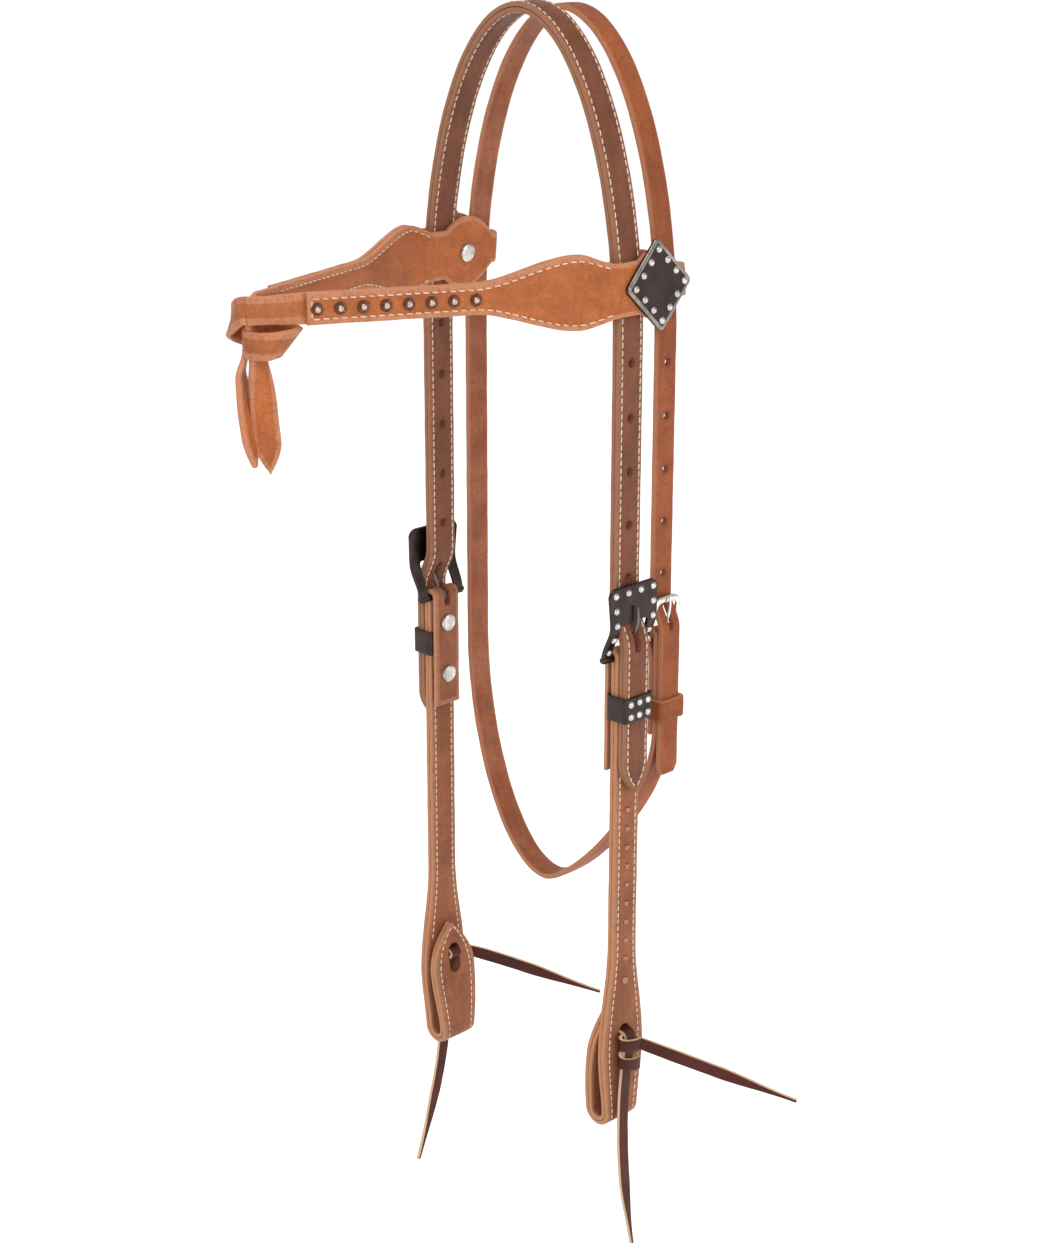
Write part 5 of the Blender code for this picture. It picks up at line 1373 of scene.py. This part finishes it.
def crown_pieces():
    half = crown_half()
    route = [(-x, z) for x, z in half[:0:-1]] + half
    seam = even_seam(CROWN_SEAM)
    reach = CROWN_HALF + CUTTER_REACH
    low, high = STEP_END - CROWN_SLOT[0] * TONGUE_RADIUS, FRAME_OPENING - CROWN_SLOT[1] * TONGUE_RADIUS
    for name, face in (("crown_strap", 1), ("crown_lining", -1)):
        strap = Strap(crown_stations(offset(route, face * (CROWN_PLY + PLY_GAP) / 2)), CROWN_PLY, face)
        bm = bmesh.new()
        marks = []
        for _, side in SIDES:
            place = partial(cheek_place, side)
            for i in range(HOLE_COUNT):
                drop = -HOLE_RISE - i * HOLE_SPACING
                cutter_rod(bm, *through(place, drop, -reach, reach), HOLE_RADIUS)
                # Painted shade round each hole
                marks.append((place(face * CROWN_HALF, drop), HOLE_SHADE))
            ends = through(place, -(low + high) / 2, -CUTTER_REACH, TAIL_LEVEL + reach)
            cutter_slot(bm, *ends, TONGUE_SLOT, high - low)
        piece = strap.build(name + "_look", [CROWN_LOOK, HOLE_LOOK], seam, marks=marks)
        punch(piece, bm, HOLE_LOOK)
        place_piece(piece, "headstall", "crown_leather", name)
        stitch_strap(name, strap, [seam_end(strap, seam)], seam, CROWN_STITCH, "headstall", "crown_leather")


def cheek_seam(runs, half):
    return CHEEK_SEAM[0] + CHEEK_SEAM[1] * half


def cheek_cutters(place):
    bm = bmesh.new()
    inner = TAB_LEVEL - CHEEK_PLY / 2 - CUTTER_REACH
    outer = CHEEK_FACE + CUTTER_REACH
    floor = CHEEK_FACE - SCREW_CAP_DEPTH - 2 * SEAT
    ends = through(place, (TONGUE_SLOT_FOOT - TONGUE_SLOT_TOP) / 2, inner, outer)
    cutter_slot(bm, *ends, TONGUE_SLOT, TONGUE_SLOT_FOOT + TONGUE_SLOT_TOP)
    for drop in SCREW_DROPS:
        cutter_rod(bm, *through(place, drop, inner, CHEEK_LEVEL), SCREW_SHANK + SEAT)
        cutter_rod(bm, *through(place, drop, floor, outer), SCREW_CAP + SEAT)
    ends = through(place, TIE_SLOT_DROP, CHEEK_LEVEL - 2 * LOOP_FOLD - CUTTER_REACH, outer)
    cutter_slot(bm, *ends, TIE_SLOT_WIDTH, TIE_SLOT_LENGTH)
    return bm


def cheek_pieces(name, side):
    place = partial(cheek_place, side)
    body, top = cheek_body(), cheek_top()
    runs = lengths(body)
    halves = [cheek_half_width(run, CHEEK_LENGTH + LOOP_FOLD, runs[-1]) for run in runs]

    def stations(route, halves):
        return [(place(*spot), ACROSS, half) for spot, half in zip(route, halves)]

    outer = Strap(stations(top + body, [STRAP_WIDTH / 2] * len(top) + halves), CHEEK_PLY, side)
    inner_route = [(CHEEK_LEVEL - LINING_OFFSET, BAR_RADIUS + 2 * SEAT)] + offset(body, LINING_OFFSET)[1:]
    lining = Strap(stations(inner_route, halves), CHEEK_LINING, -side)
    # Painted shade round the tie slot
    marks = [(place(CHEEK_FACE, TIE_SLOT_DROP + shift), TIE_SLOT_SHADE) for shift in TIE_SLOT_SHADES]
    for strap, node, shown, last in (
        (outer, name + "_cheek_strap", outer.length - runs[-1], seam_end(outer, cheek_seam)[1]),
        (lining, name + "_cheek_lining", 0, CHEEK_LENGTH - LEAF_LENGTH + LINING_STITCH_END),
    ):
        def groove(rows, shown=shown):
            return GROOVE * np.clip((rows - shown - CHEEK_GROOVE_START) / CHEEK_GROOVE_FADE, 0, 1)

        piece = strap.build(node + "_look", [CHEEK_LOOK, HOLE_LOOK], cheek_seam, groove, marks=marks)
        punch(piece, cheek_cutters(place), HOLE_LOOK)
        place_piece(piece, "headstall", "cheek_leather", node)
        spans = [(shown + CHEEK_STITCH_START, last)]
        stitch_strap(node, strap, spans, cheek_seam, CHEEK_STITCH, "headstall", "cheek_leather")
    pile = Pile()
    spots = [(CHEEK_SPOT_DROP + i * CHEEK_SPOT_SPACING, SPOT_RADIUS) for i in range(CHEEK_SPOT_COUNT)]
    for drop, radius in spots + [(LOW_SPOT_DROP, LOW_SPOT_RADIUS)]:
        dome = dome_profile(radius, SPOT_HEIGHT)
        turn(pile, place(CHEEK_FACE, drop), near_side(side, 1, 0, 0), dome, SMALL_SPOT_SIDES)
    place_piece(pile.build(name + "_cheek_spots", [SPOT_LOOK]), "headstall", "antique_spots")


def browband_piece(name, brow, stations):
    strap = Strap(stations, BROW_PLY, brow.side)
    seam = even_seam(BROW_SEAM)
    spans = []
    for ply in (1, -1):
        ends = [brow.station(run, ply)[0] for run in (OVERLAY_END + BROW_STITCH_START, NECK_AT - BROW_STITCH_END)]
        nearest = [np.argmin(np.linalg.norm(strap.points - np.array(end), axis=1)) for end in ends]
        spans.append(sorted(strap.places[nearest]))

    def groove(rows):
        depths = [
            np.clip(np.minimum(rows - first, last - rows) / BROW_GROOVE_FADE + 1, 0, 1) for first, last in spans
        ]
        return GROOVE * np.maximum(*depths)

    piece = strap.build(name + "_browband_look", [BROW_LOOK, HOLE_LOOK], seam, groove, pillow=BROW_PILLOW)
    place_piece(piece, "browband", "browband_leather", name + "_browband")
    cross = [(spans[0][0], BROW_NARROW / 2 - BROW_SEAM)]
    stitch_strap(name + "_browband", strap, spans, seam, BROW_STITCH, "browband", "browband_leather", cross)


def browband_spots(name, brow):
    under = BROW_PLY / 2 + SEAT
    rim = [(radius, under + height) for radius, height in SPOT_RIM]
    dome = [(radius, height + under + SPOT_DOME_LEVEL) for radius, height in dome_profile(*SPOT_DOME)]
    for i in range(BROW_SPOT_COUNT):
        middle, outward, _, _ = brow.frame(BROW_SPOT_START + i * BROW_SPOT_SPACING)
        spot = middle + outward * BROW_PLY_LEVEL
        pile = Pile()
        turn(pile, spot, outward, rim)
        turn(pile, spot, outward, dome, mark=1)
        title = name + "_browband_spot_" + str(i + 1)
        place_piece(pile.build(title + "_look", [COPPER_LOOK, DOME_LOOK]), "browband", "antique_spots", title)


def throatlatch_pieces():
    route = throat_route()
    stations = [
        (Vector((x, THROAT_SETBACK, z)), ACROSS, throat_half(run)) for (x, z), run in zip(route, lengths(route))
    ]
    strap = Strap(stations, THROAT_PLY, -1)
    bm = bmesh.new()
    marks = []
    reach = THROAT_PLY + CUTTER_REACH
    for i in range(THROAT_HOLE_COUNT):
        drop = -THROAT_HOLE_RISE - i * HOLE_SPACING
        cutter_rod(bm, *through(throat_place, drop, -reach, reach), THROAT_HOLE_RADIUS)
        # Painted shade round each hole
        marks.append((throat_place(THROAT_PLY / 2, drop), HOLE_SHADE))
    high, low = THROAT_TONGUE - THROAT_OPENING, THROAT_TONGUE - THROAT_STEP_END
    ends = through(throat_place, (high + low) / 2, 0, THROAT_TAIL_LEVEL + THROAT_PLY / 2 + CUTTER_REACH)
    cutter_slot(bm, *ends, THROAT_TONGUE_SLOT, low - high)
    piece = strap.build("throatlatch_strap_look", [THROAT_LOOK, HOLE_LOOK], marks=marks)
    punch(piece, bm, HOLE_LOOK)
    bm = bmesh.new()
    inner = THROAT_LEVEL + THROAT_PLY / 2
    middle = (THROAT_SLOT_FOOT - THROAT_SLOT_TOP) / 2
    ends = through(throat_place, middle, -inner - CUTTER_REACH, inner + SEAT / 2)
    cutter_slot(bm, *ends, THROAT_TONGUE_SLOT, THROAT_SLOT_TOP + THROAT_SLOT_FOOT)
    punch(piece, bm, HOLE_LOOK)
    place_piece(piece, "headstall", "throatlatch_leather", "throatlatch_strap")


def tie_pieces(name, side, hanging, swinging):
    for part, stations, nodes in (
        ("hanging", hanging_strand(side, *hanging), [name + "_water_tie"]),
        ("wrapped", wrapped_strand(side, *swinging), []),
    ):
        strap = Strap(stations, LACE_PLY, side)
        piece = strap.build(
            name + "_tie_" + part, [LACE_LOOK], pillow=LACE_PILLOW, rounds=(LACE_ROUND, LACE_ROUND), fade=LACE_FADE
        )
        place_piece(piece, "headstall", "lace_leather", *nodes)


# Metal pieces

# Buckle frames: round corners and rims, and shares of the way from the outer to the inner line
OPENING_CORNER = 0.0012
FRAME_RIM = 0.0007
FRAME_SHARES = (0.25, 0.4, 0.55, 0.7, 0.85)
FRAME_TOP_SHARES = (0.75, 0.5, 0.25)
FRAME_BAR_INSET = 0.0004
THROAT_OPENING_CORNER = 0.0030
THROAT_RIM = 0.00105
THROAT_SHARES = (0.4, 0.5, 0.6)
THROAT_TOP_SHARES = (0.66, 0.33)
THROAT_INNER_FOOT = 0.0006
THROAT_INNER_RATE = 0.8

# Tongues, keepers and screws
TONGUE_TAPER = (1.08, 0.33)
KEEPER_STUD_HEIGHT = 0.0010
KEEPER_ROUNDS = (0.0004, 0.0003)
THROAT_KEEPER_ROUNDS = (0.0006, 0.0003)
SCREW_SLOT_HALF = 0.0033
CONCHO_SLOT_HALF = 0.0034
SCREW_SLOT_SIZE = (0.0011, 0.0012)
SCREW_SLOT_TURN = 0.5
SCREW_CAP_BEVEL = (0.0003, 0.0002)
HEAD_DOME = (0.86, 0.22)
HEAD_RIM = ((0.97, 0.45), (1, 0.75), (0.98, 1))

# Conchos: each ring's distance in from the side and its height over the face, and which rings look worn
CONCHO_RINGS = (
    (0.0004, -0.0024), (0, -0.0021), (0, -0.0010), (0.0003, -0.0004), (0.0008, 0), (0.0014, 0),
    (0.0019, -0.0003), (0.0030, -0.00035), (0.0080, -0.00025),
)
CONCHO_RIM = (2, 3, 4, 5)
CONCHO_INNER_CORNER = 0.0006
CONCHO_STUD_SUNK = 0.0003
CONCHO_SHANK = 0.0018
CONCHO_POST_END = -0.0050
CONCHO_SCREW_SHANK = 0.0015


def frame_level(drop):
    dish = FRAME_DISH * eased(-drop, FRAME_OPENING, FRAME_RISE)
    return FRAME_LEVEL * eased(-drop, 0, FRAME_OPENING) - dish


def frame_half(drop):
    share = min(max(-drop / FRAME_RISE, 0), 1)
    return FRAME_FOOT_HALF + (FRAME_TOP_HALF - FRAME_FOOT_HALF) * share


def throat_frame_level(drop):
    return THROAT_FRAME_LEVEL * eased(-drop, 0, THROAT_OPENING)


def heel_bar(pile, place, reach, radius):
    """A rod across the foot of a buckle's frame."""
    shares = (-1, -0.5, 0, 0.5, 1)
    sweep(pile, [place(0, 0, reach * share) for share in shares], [radius] * len(shares))


def towards_middle(pair, shares):
    """More pairs of points from the last one towards the plate's middle."""
    (a, b), (c, d) = pair
    return [((a * share, b), (c * share, d)) for share in shares]


def frame_plate(pile, place, level, pairs, thick, rim, shares):
    """A bent plate between an outer and an inner line, given as pairs of (across, drop) points."""
    columns = [(rim * (1 - math.sin(a)), 1 - (1 - math.cos(a)) * rim / (thick / 2)) for a in QUARTER[::-1]]
    rings = []
    for outer, inner in pairs:
        run = math.dist(outer, inner)
        section = [(off / run, lift) for off, lift in columns]
        section += [(share, 1) for share in shares]
        section += [(1 - off / run, lift) for off, lift in reversed(columns)]
        section += [(share, -lift) for share, lift in reversed(section)]
        ring = []
        for share, lift in section:
            across = outer[0] + (inner[0] - outer[0]) * share
            drop = outer[1] + (inner[1] - outer[1]) * share
            slope = (level(drop + MM / 10) - level(drop - MM / 10)) / (MM / 5)
            lift *= thick / 2 / math.sqrt(1 + slope * slope)
            ring.append(place(level(drop) + lift, drop - slope * lift, across))
        rings.append(ring)
    pile.add_rings(rings)


def mirrored(pairs):
    return pairs + [((-a[0], a[1]), (-b[0], b[1])) for a, b in reversed(pairs)]


def cheek_buckle(name, side):
    place = partial(cheek_place, side)
    leg_top = OPENING_CORNER - FRAME_OPENING
    corner_drop = FRAME_CORNER - FRAME_RISE
    leg = evenly(BAR_RADIUS, leg_top, LEG_STEPS) + [leg_top]
    pairs = [((frame_half(drop), drop), (OPENING_HALF, drop)) for drop in leg]
    shoulder = evenly(leg_top, corner_drop, FRAME_SIDE_STEPS)[1:] + [corner_drop]
    outer = [(frame_half(drop), drop) for drop in shoulder]
    corner = (FRAME_TOP_HALF - FRAME_CORNER, corner_drop, FRAME_CORNER)
    outer += arc(*corner, 0, -math.pi / 2, FRAME_CORNER_STEPS)[1:]
    inner = arc(OPENING_HALF - OPENING_CORNER, leg_top, OPENING_CORNER, 0, -math.pi / 2, len(outer))[1:]
    pairs += list(zip(outer, inner))
    pairs += towards_middle(pairs[-1], FRAME_TOP_SHARES)
    pile = Pile()
    frame_plate(pile, place, frame_level, mirrored(pairs), FRAME_PLATE, FRAME_RIM, FRAME_SHARES)
    heel_bar(pile, place, FRAME_FOOT_HALF - FRAME_BAR_INSET, BAR_RADIUS)
    title = name + "_buckle_frame"
    place_piece(pile.build_solid(title + "_look", [DARK_LOOK]), name + "_buckle", "dark_plate", title)
    pile = Pile()
    top = STUD_INSET - FRAME_RISE
    edge = FRAME_TOP_HALF - STUD_INSET
    spots = [(top, edge * share) for share in STUD_ROW_SHARES]
    for drop in evenly(top, -STUD_FOOT, STUDS_PER_LEG)[1:] + [-STUD_FOOT]:
        edge = frame_half(drop) - STUD_INSET + SEAT
        spots += [(drop, edge), (drop, -edge)]
    for drop, along in spots:
        slope = (frame_level(drop + SEAT) - frame_level(drop - SEAT)) / (2 * SEAT)
        outward = near_side(side, 1, 0, slope).normalized()
        face = place(frame_level(drop), drop, along) + outward * FRAME_PLATE / 2
        turn(pile, face, outward, dome_profile(STUD_RADIUS, STUD_HEIGHT), ROD_SIDES)
    place_piece(pile.build(name + "_buckle_studs", [SILVER_LOOK]), name + "_buckle", "silver_plate")


def through_points(points, steps):
    """A smooth line through some points, which it passes exactly."""
    spots = []
    last = len(points) - 1
    for i in range(last):
        before, a, b, after = points[max(i - 1, 0)], points[i], points[i + 1], points[min(i + 2, last)]
        for t in evenly(0, 1, steps):
            bend = (2 * before - 5 * a + 4 * b - after) * t * t + (3 * a - before - 3 * b + after) * t * t * t
            spots.append(0.5 * (2 * a + (b - before) * t + bend))
    return spots + [points[-1]]


def tongue_piece(name, place, foot, shares, level, radius, bar, look):
    """A tongue on its heel bar, with its tip at rest on a frame whose face is at this level."""
    ring = bar + SEAT + radius
    rest = level + SEAT + radius
    pile = Pile()
    section = arc(ring, 0, radius, 0, 2 * math.pi, 16)[:-1]
    turn(pile, place(0, 0), ACROSS, section, TONGUE_RING_SIDES, closed=True)
    points = [Vector((ring * math.cos(TONGUE_ROOT), -ring * math.sin(TONGUE_ROOT), 0))]
    points += [Vector((rest * share, -foot * drop, 0)) for share, drop in shares]
    spots = through_points(points, TONGUE_STEPS)
    count = len(spots) - 1
    radii = [radius * (TONGUE_TAPER[0] - TONGUE_TAPER[1] * ease(i / count)) for i in range(count + 1)]
    sweep(pile, [place(spot.x, spot.y) for spot in spots], radii, TONGUE_SIDES)
    title = name + "_buckle_tongue"
    place_piece(pile.build_solid(title + "_look", [look]), name + "_tongue", "silver_plate", title)


def box_outline(low, high, half, corner, steps=8):
    """A rectangle's outline with round corners, in (level, along)."""
    points = []
    corners = ((high, half, -1, -1), (low, half, 1, -1), (low, -half, 1, 1), (high, -half, -1, 1))
    for i, (x, y, a, b) in enumerate(corners):
        points += arc(x + a * corner, y + b * corner, corner, math.pi / 2 * i, math.pi / 2 * (i + 1), steps)
    return points


def band_piece(name, place, low, high, half, thick, height, look, face, **build):
    """A closed band round a box: its middle line, half its thickness outside the box."""
    outline = box_outline(low - thick / 2, high + thick / 2, half + thick / 2, KEEPER_CORNER + thick / 2)
    stations = [(place(level, 0, along), UP, height / 2) for level, along in outline]
    return Strap(stations, thick, face, closed=True).build(name, [look], **build)


def metal_keeper(name, side):
    def place(level, drop, along=0):
        return cheek_place(side, level, KEEPER_DROP + drop, along)

    low = LINING_BACK - SEAT
    high = TAIL_LEVEL + CROWN_HALF + SEAT
    sizes = (low, high, STRAP_WIDTH / 2 + KEEPER_SIDE_CLEARANCE, KEEPER_BAND, KEEPER_HEIGHT)
    title = name + "_keeper"
    flat = {"rounds": KEEPER_ROUNDS, "pillow": 0, "sway": 0}
    piece = band_piece(title + "_look", place, *sizes, DARK_LOOK, side, **flat)
    place_piece(piece, title, "dark_plate", title)
    pile = Pile()
    for row in (-1, 1):
        for column in (-1, 0, 1):
            spot = place(high + KEEPER_BAND, row * KEEPER_STUD_ROW, column * KEEPER_STUD_COLUMN)
            turn(pile, spot, near_side(side, 1, 0, 0), dome_profile(STUD_RADIUS, KEEPER_STUD_HEIGHT), ROD_SIDES)
    place_piece(pile.build(title + "_studs", [SILVER_LOOK]), title, "silver_plate")


def screw_piece(title, middle, outward, profile, slot_at, slot_half, body):
    """A turned screw with a straight slot across its head."""
    pile = Pile()
    turn(pile, middle, outward, profile, SCREW_SIDES)
    piece = pile.build_solid(title + "_look", [SILVER_LOOK, HOLE_LOOK], SCREW_SHARP)
    bm = bmesh.new()
    first, second, axis = basis_of(outward)
    turned = Matrix((first, second, axis)).transposed().to_4x4() @ Matrix.Rotation(SCREW_SLOT_TURN, 4, "Z")
    place = Matrix.Translation(middle + axis * slot_at) @ turned
    bmesh.ops.create_cube(bm, size=1, matrix=place @ Matrix.Diagonal((2 * slot_half, *SCREW_SLOT_SIZE, 1)))
    punch(piece, bm, SILVER_LOOK, SCREW_SHARP)
    place_piece(piece, body, "silver_plate", title)


def head_profile(radius, back, seat):
    """A slightly domed screw head seen from inside, from its middle to its seat."""
    depth = seat - back
    shares = [i / HEAD_STEPS for i in range(1, HEAD_STEPS + 1)]
    dome = [(radius * HEAD_DOME[0] * share, back + depth * HEAD_DOME[1] * share * share) for share in shares]
    return [(0, back)] + dome + [(radius * share, back + depth * rise) for share, rise in HEAD_RIM]


def cheek_screws(name, side):
    seat = TAB_LEVEL - CHEEK_PLY / 2 - SEAT
    back = seat - SCREW_HEAD_DEPTH
    top = CHEEK_FACE - SEAT
    under = top - SCREW_CAP_DEPTH
    profile = head_profile(SCREW_HEAD, back, seat) + [
        (SCREW_SHANK, seat), (SCREW_SHANK, under), (SCREW_CAP, under), (SCREW_CAP, top - SCREW_CAP_BEVEL[1]),
        (SCREW_CAP - SCREW_CAP_BEVEL[0], top), (0, top),
    ]
    for number, drop in zip(("upper", "lower"), SCREW_DROPS):
        title = name + "_" + number + "_cheek_screw"
        place, outward = cheek_place(side, 0, drop), near_side(side, 1, 0, 0)
        screw_piece(title, place, outward, profile, back, SCREW_SLOT_HALF, "headstall")


def concho_piece(name, brow):
    middle, outward, rear, wide = brow.frame(brow.run_at(CONCHO_AT))
    base = BROW_RUN_LEVEL + BROW_PLY / 2 + SEAT
    top = base + CONCHO_PLATE
    first = (rear + wide).normalized()
    second = outward.cross(first)
    rings = []
    for inset, height in CONCHO_RINGS:
        reach = CONCHO_SIDE / 2 - inset
        outline = box_outline(-reach, reach, reach, max(CONCHO_CORNER - inset, CONCHO_INNER_CORNER))
        rings.append([middle + first * a + second * b + outward * (top + height) for a, b in outline])
    marks = []
    for number in range(len(rings) - 1):
        marks += [int(number in CONCHO_RIM)] * len(rings[0])
    pile = Pile()
    pile.add_rings(rings, marks + [0, 0])
    end, inside = CONCHO_POST_END, base / 2
    post = [(0, base), (POST_RADIUS, base), (POST_RADIUS, end), (CONCHO_SHANK, end), (CONCHO_SHANK, inside)]
    turn(pile, middle, outward, post + [(0, inside)])
    title = name + "_concho"
    piece = pile.build_solid(title + "_look", [DARK_LOOK, RIM_LOOK], CONCHO_SHARP)
    place_piece(piece, "browband", "dark_plate", title)
    pile = Pile()
    corners = [(1, 0), (0, 1), (-1, 0), (0, -1)]
    for (a, b), (c, d) in zip(corners, corners[1:] + corners[:1]):
        for share in evenly(0, 1, CONCHO_STUDS_PER_EDGE - 1):
            along = (a + (c - a) * share) * CONCHO_STUD_REACH
            up = (b + (d - b) * share) * CONCHO_STUD_REACH
            face = middle + rear * along + wide * up + outward * (top - CONCHO_STUD_SUNK)
            turn(pile, face, outward, dome_profile(STUD_RADIUS, STUD_HEIGHT + CONCHO_STUD_SUNK))
    place_piece(pile.build(title + "_studs", [SILVER_LOOK]), "browband", "silver_plate")
    back = -base - CONCHO_SCREW_DEPTH
    profile = head_profile(CONCHO_SCREW_HEAD, back, -base)
    profile += [(CONCHO_SCREW_SHANK, -base), (CONCHO_SCREW_SHANK, inside), (0, inside)]
    screw_piece(title + "_screw", middle, outward, profile, back, CONCHO_SLOT_HALF, "browband")


def throat_buckle():
    foot, corner, half = THROAT_FRAME_FOOT, THROAT_FRAME_CORNER, THROAT_FRAME_HALF
    inner_half = half - THROAT_FRAME_RAIL
    round_in = THROAT_OPENING_CORNER
    outer = arc(half - corner, foot - corner, corner, math.pi / 3, 0, THROAT_FOOT_STEPS)
    rise = [foot - THROAT_INNER_FOOT + (drop - outer[0][1]) * THROAT_INNER_RATE for _, drop in outer]
    pairs = [(spot, (inner_half, drop)) for spot, drop in zip(outer, rise)]
    shoulder = corner - THROAT_FRAME_RISE
    legs = line((outer[-1][1], rise[-1]), (shoulder, round_in - THROAT_OPENING), THROAT_LEG_STEPS)
    pairs += [((half, drop), (inner_half, inner_drop)) for drop, inner_drop in legs]
    arcs = [
        arc(across - radius, drop, radius, 0, -math.pi / 2, THROAT_CORNER_STEPS)[1:]
        for across, drop, radius in ((half, shoulder, corner), (inner_half, round_in - THROAT_OPENING, round_in))
    ]
    pairs += list(zip(*arcs))
    pairs += towards_middle(pairs[-1], THROAT_TOP_SHARES)
    pile = Pile()
    sizes = (THROAT_FRAME_PLATE, THROAT_RIM, THROAT_SHARES)
    frame_plate(pile, throat_place, throat_frame_level, mirrored(pairs), *sizes)
    heel_bar(pile, throat_place, half - THROAT_FRAME_RAIL / 2, THROAT_BAR)
    title = "throatlatch_buckle_frame"
    place_piece(pile.build_solid(title + "_look", [CHROME_LOOK]), "throatlatch_buckle", "silver_plate", title)
    tongue_piece(
        "throatlatch", throat_place, THROAT_FRAME_RISE, THROAT_TONGUE_SHARES,
        THROAT_FRAME_LEVEL + THROAT_FRAME_PLATE / 2, THROAT_TONGUE, THROAT_BAR, CHROME_LOOK,
    )


def throat_fittings():
    seat = THROAT_LEVEL - THROAT_PLY - SEAT - THROAT_PLY / 2 - SEAT
    back = seat - SCREW_HEAD_DEPTH
    top = THROAT_LEVEL + THROAT_PLY / 2 - SEAT
    profile = head_profile(SCREW_HEAD, back, seat) + [(SCREW_SHANK, seat), (SCREW_SHANK, top), (0, top)]
    middle = throat_place(0, THROAT_SCREW_DROP)
    screw_piece("throatlatch_screw", middle, Vector((1, 0, 0)), profile, back, SCREW_SLOT_HALF, "headstall")

    def place(level, drop, along=0):
        return throat_place(level, THROAT_KEEPER_DROP + drop, along)

    high = THROAT_TAIL_LEVEL + THROAT_PLY / 2 + SEAT
    sizes = (seat, high, THROAT_WIDTH / 2 + KEEPER_SIDE_CLEARANCE, THROAT_KEEPER_PLY, THROAT_KEEPER_HEIGHT)
    title = "throatlatch_keeper"
    piece = band_piece(title + "_look", place, *sizes, THROAT_LOOK, 1, rounds=THROAT_KEEPER_ROUNDS)
    place_piece(piece, title, "throatlatch_leather", title)


# Stage

EYE = Vector((0.7865, -0.7760, 0.0845))
AIM = Vector((-0.0016, -0.0045, -0.2909))
LENS = 68.68
SENSOR = 36
CLIP = (0.01, 60)
FLOOR = -0.64
FLOOR_SIZE = 12
FLOOR_TONES = ((0.90, 0.90, 0.90, 1), (0.92, 0.92, 0.92, 1))
FLOOR_GLOW = 0.46
WORLD_LIGHT = 0.62
LAMPS = (
    ("key", (1.5, -1.5, 0.9), (0, 0, -0.25), 1.1, 18.8),
    ("fill", (1.9, 0.6, -0.2), (0, 0, -0.3), 1.4, 10),
    ("top", (-0.6, -0.4, 1.7), (0, 0, -0.2), 1.2, 12),
)


def camera():
    """The camera fitted to the photograph."""
    data = bpy.data.cameras.new("camera")
    data.lens = LENS
    data.sensor_width = SENSOR
    data.clip_start, data.clip_end = CLIP
    bpy.context.scene.camera = aimed("camera", data, EYE, AIM)


def lamp(name, place, aim, size, power):
    data = bpy.data.lights.new(name, "AREA")
    data.shape = "RECTANGLE"
    data.size = data.size_y = size
    data.energy = power
    aimed(name, data, Vector(place), Vector(aim))


def aimed(name, data, place, aim):
    obj = linked(name, data)
    obj.location = place
    obj.rotation_euler = (aim - place).to_track_quat("-Z", "Y").to_euler()
    return obj


def stage():
    """A pale floor and a bright, even room with three lamps."""
    bm = bmesh.new()
    bmesh.ops.create_grid(bm, x_segments=1, y_segments=1, size=FLOOR_SIZE)
    mesh = bpy.data.meshes.new("floor")
    bm.to_mesh(mesh)
    bm.free()
    floor = linked("floor", mesh)
    floor.location = (0, 0, FLOOR)
    make = Nodes("pale floor")
    speck = make.spread(make.noise(9, 3, 0.5), 0.3, 0.7)
    make.finish(make.mix(speck, FLOOR_TONES[0], FLOOR_TONES[1]), 0.8, make.bumps((speck, 0.0005, 0.05)))
    path = make.new("ShaderNodeLightPath")
    seen = make.maths("ADD", path.outputs["Is Camera Ray"], path.outputs["Is Glossy Ray"])
    make.put(make.shader.inputs["Emission Color"], (1, 1, 1, 1))
    make.put(make.shader.inputs["Emission Strength"], make.maths("MULTIPLY", seen, FLOOR_GLOW))
    mesh.materials.append(make.material)
    world = bpy.data.worlds.new("studio")
    bpy.context.scene.world = world
    world.use_nodes = True
    tree = world.node_tree
    back = tree.nodes["Background"]
    path = tree.nodes.new("ShaderNodeLightPath")
    strength = tree.nodes.new("ShaderNodeMapRange")
    tree.links.new(path.outputs["Is Camera Ray"], strength.inputs[0])
    strength.inputs[3].default_value, strength.inputs[4].default_value = WORLD_LIGHT, 1
    back.inputs[0].default_value = (1, 1, 1, 1)
    tree.links.new(strength.outputs[0], back.inputs[1])
    for values in LAMPS:
        lamp(*values)


bpy.context.scene.view_settings.view_transform = "Standard"
camera()
stage()
crown_pieces()
throatlatch_pieces()
throat_buckle()
throat_fittings()
near_brow = BrowLine(1, KNOT_ASIDE)
far_brow = BrowLine(-1, 0)
browband_piece("near", near_brow, wrapped_stations(near_brow, far_brow))
browband_piece("far", far_brow, straight_stations(far_brow))
for name, side in SIDES:
    cheek_pieces(name, side)
    cheek_screws(name, side)
    cheek_buckle(name, side)
    tongue_piece(
        name, partial(cheek_place, side), TONGUE_LENGTH, TONGUE_SHARES,
        FRAME_LEVEL + FRAME_PLATE / 2, TONGUE_RADIUS, BAR_RADIUS, TONGUE_LOOK,
    )
    metal_keeper(name, side)
for name, brow in (("near", near_brow), ("far", far_brow)):
    browband_spots(name, brow)
    concho_piece(name, brow)
tie_pieces("near", 1, (NEAR_HANG, NEAR_BOW), (NEAR_SWING, NEAR_LEAVE, NEAR_LEAVE_SHARE))
tie_pieces("far", -1, (FAR_HANG, FAR_BOW), (FAR_SWING, FAR_LEAVE, FAR_LEAVE_SHARE))
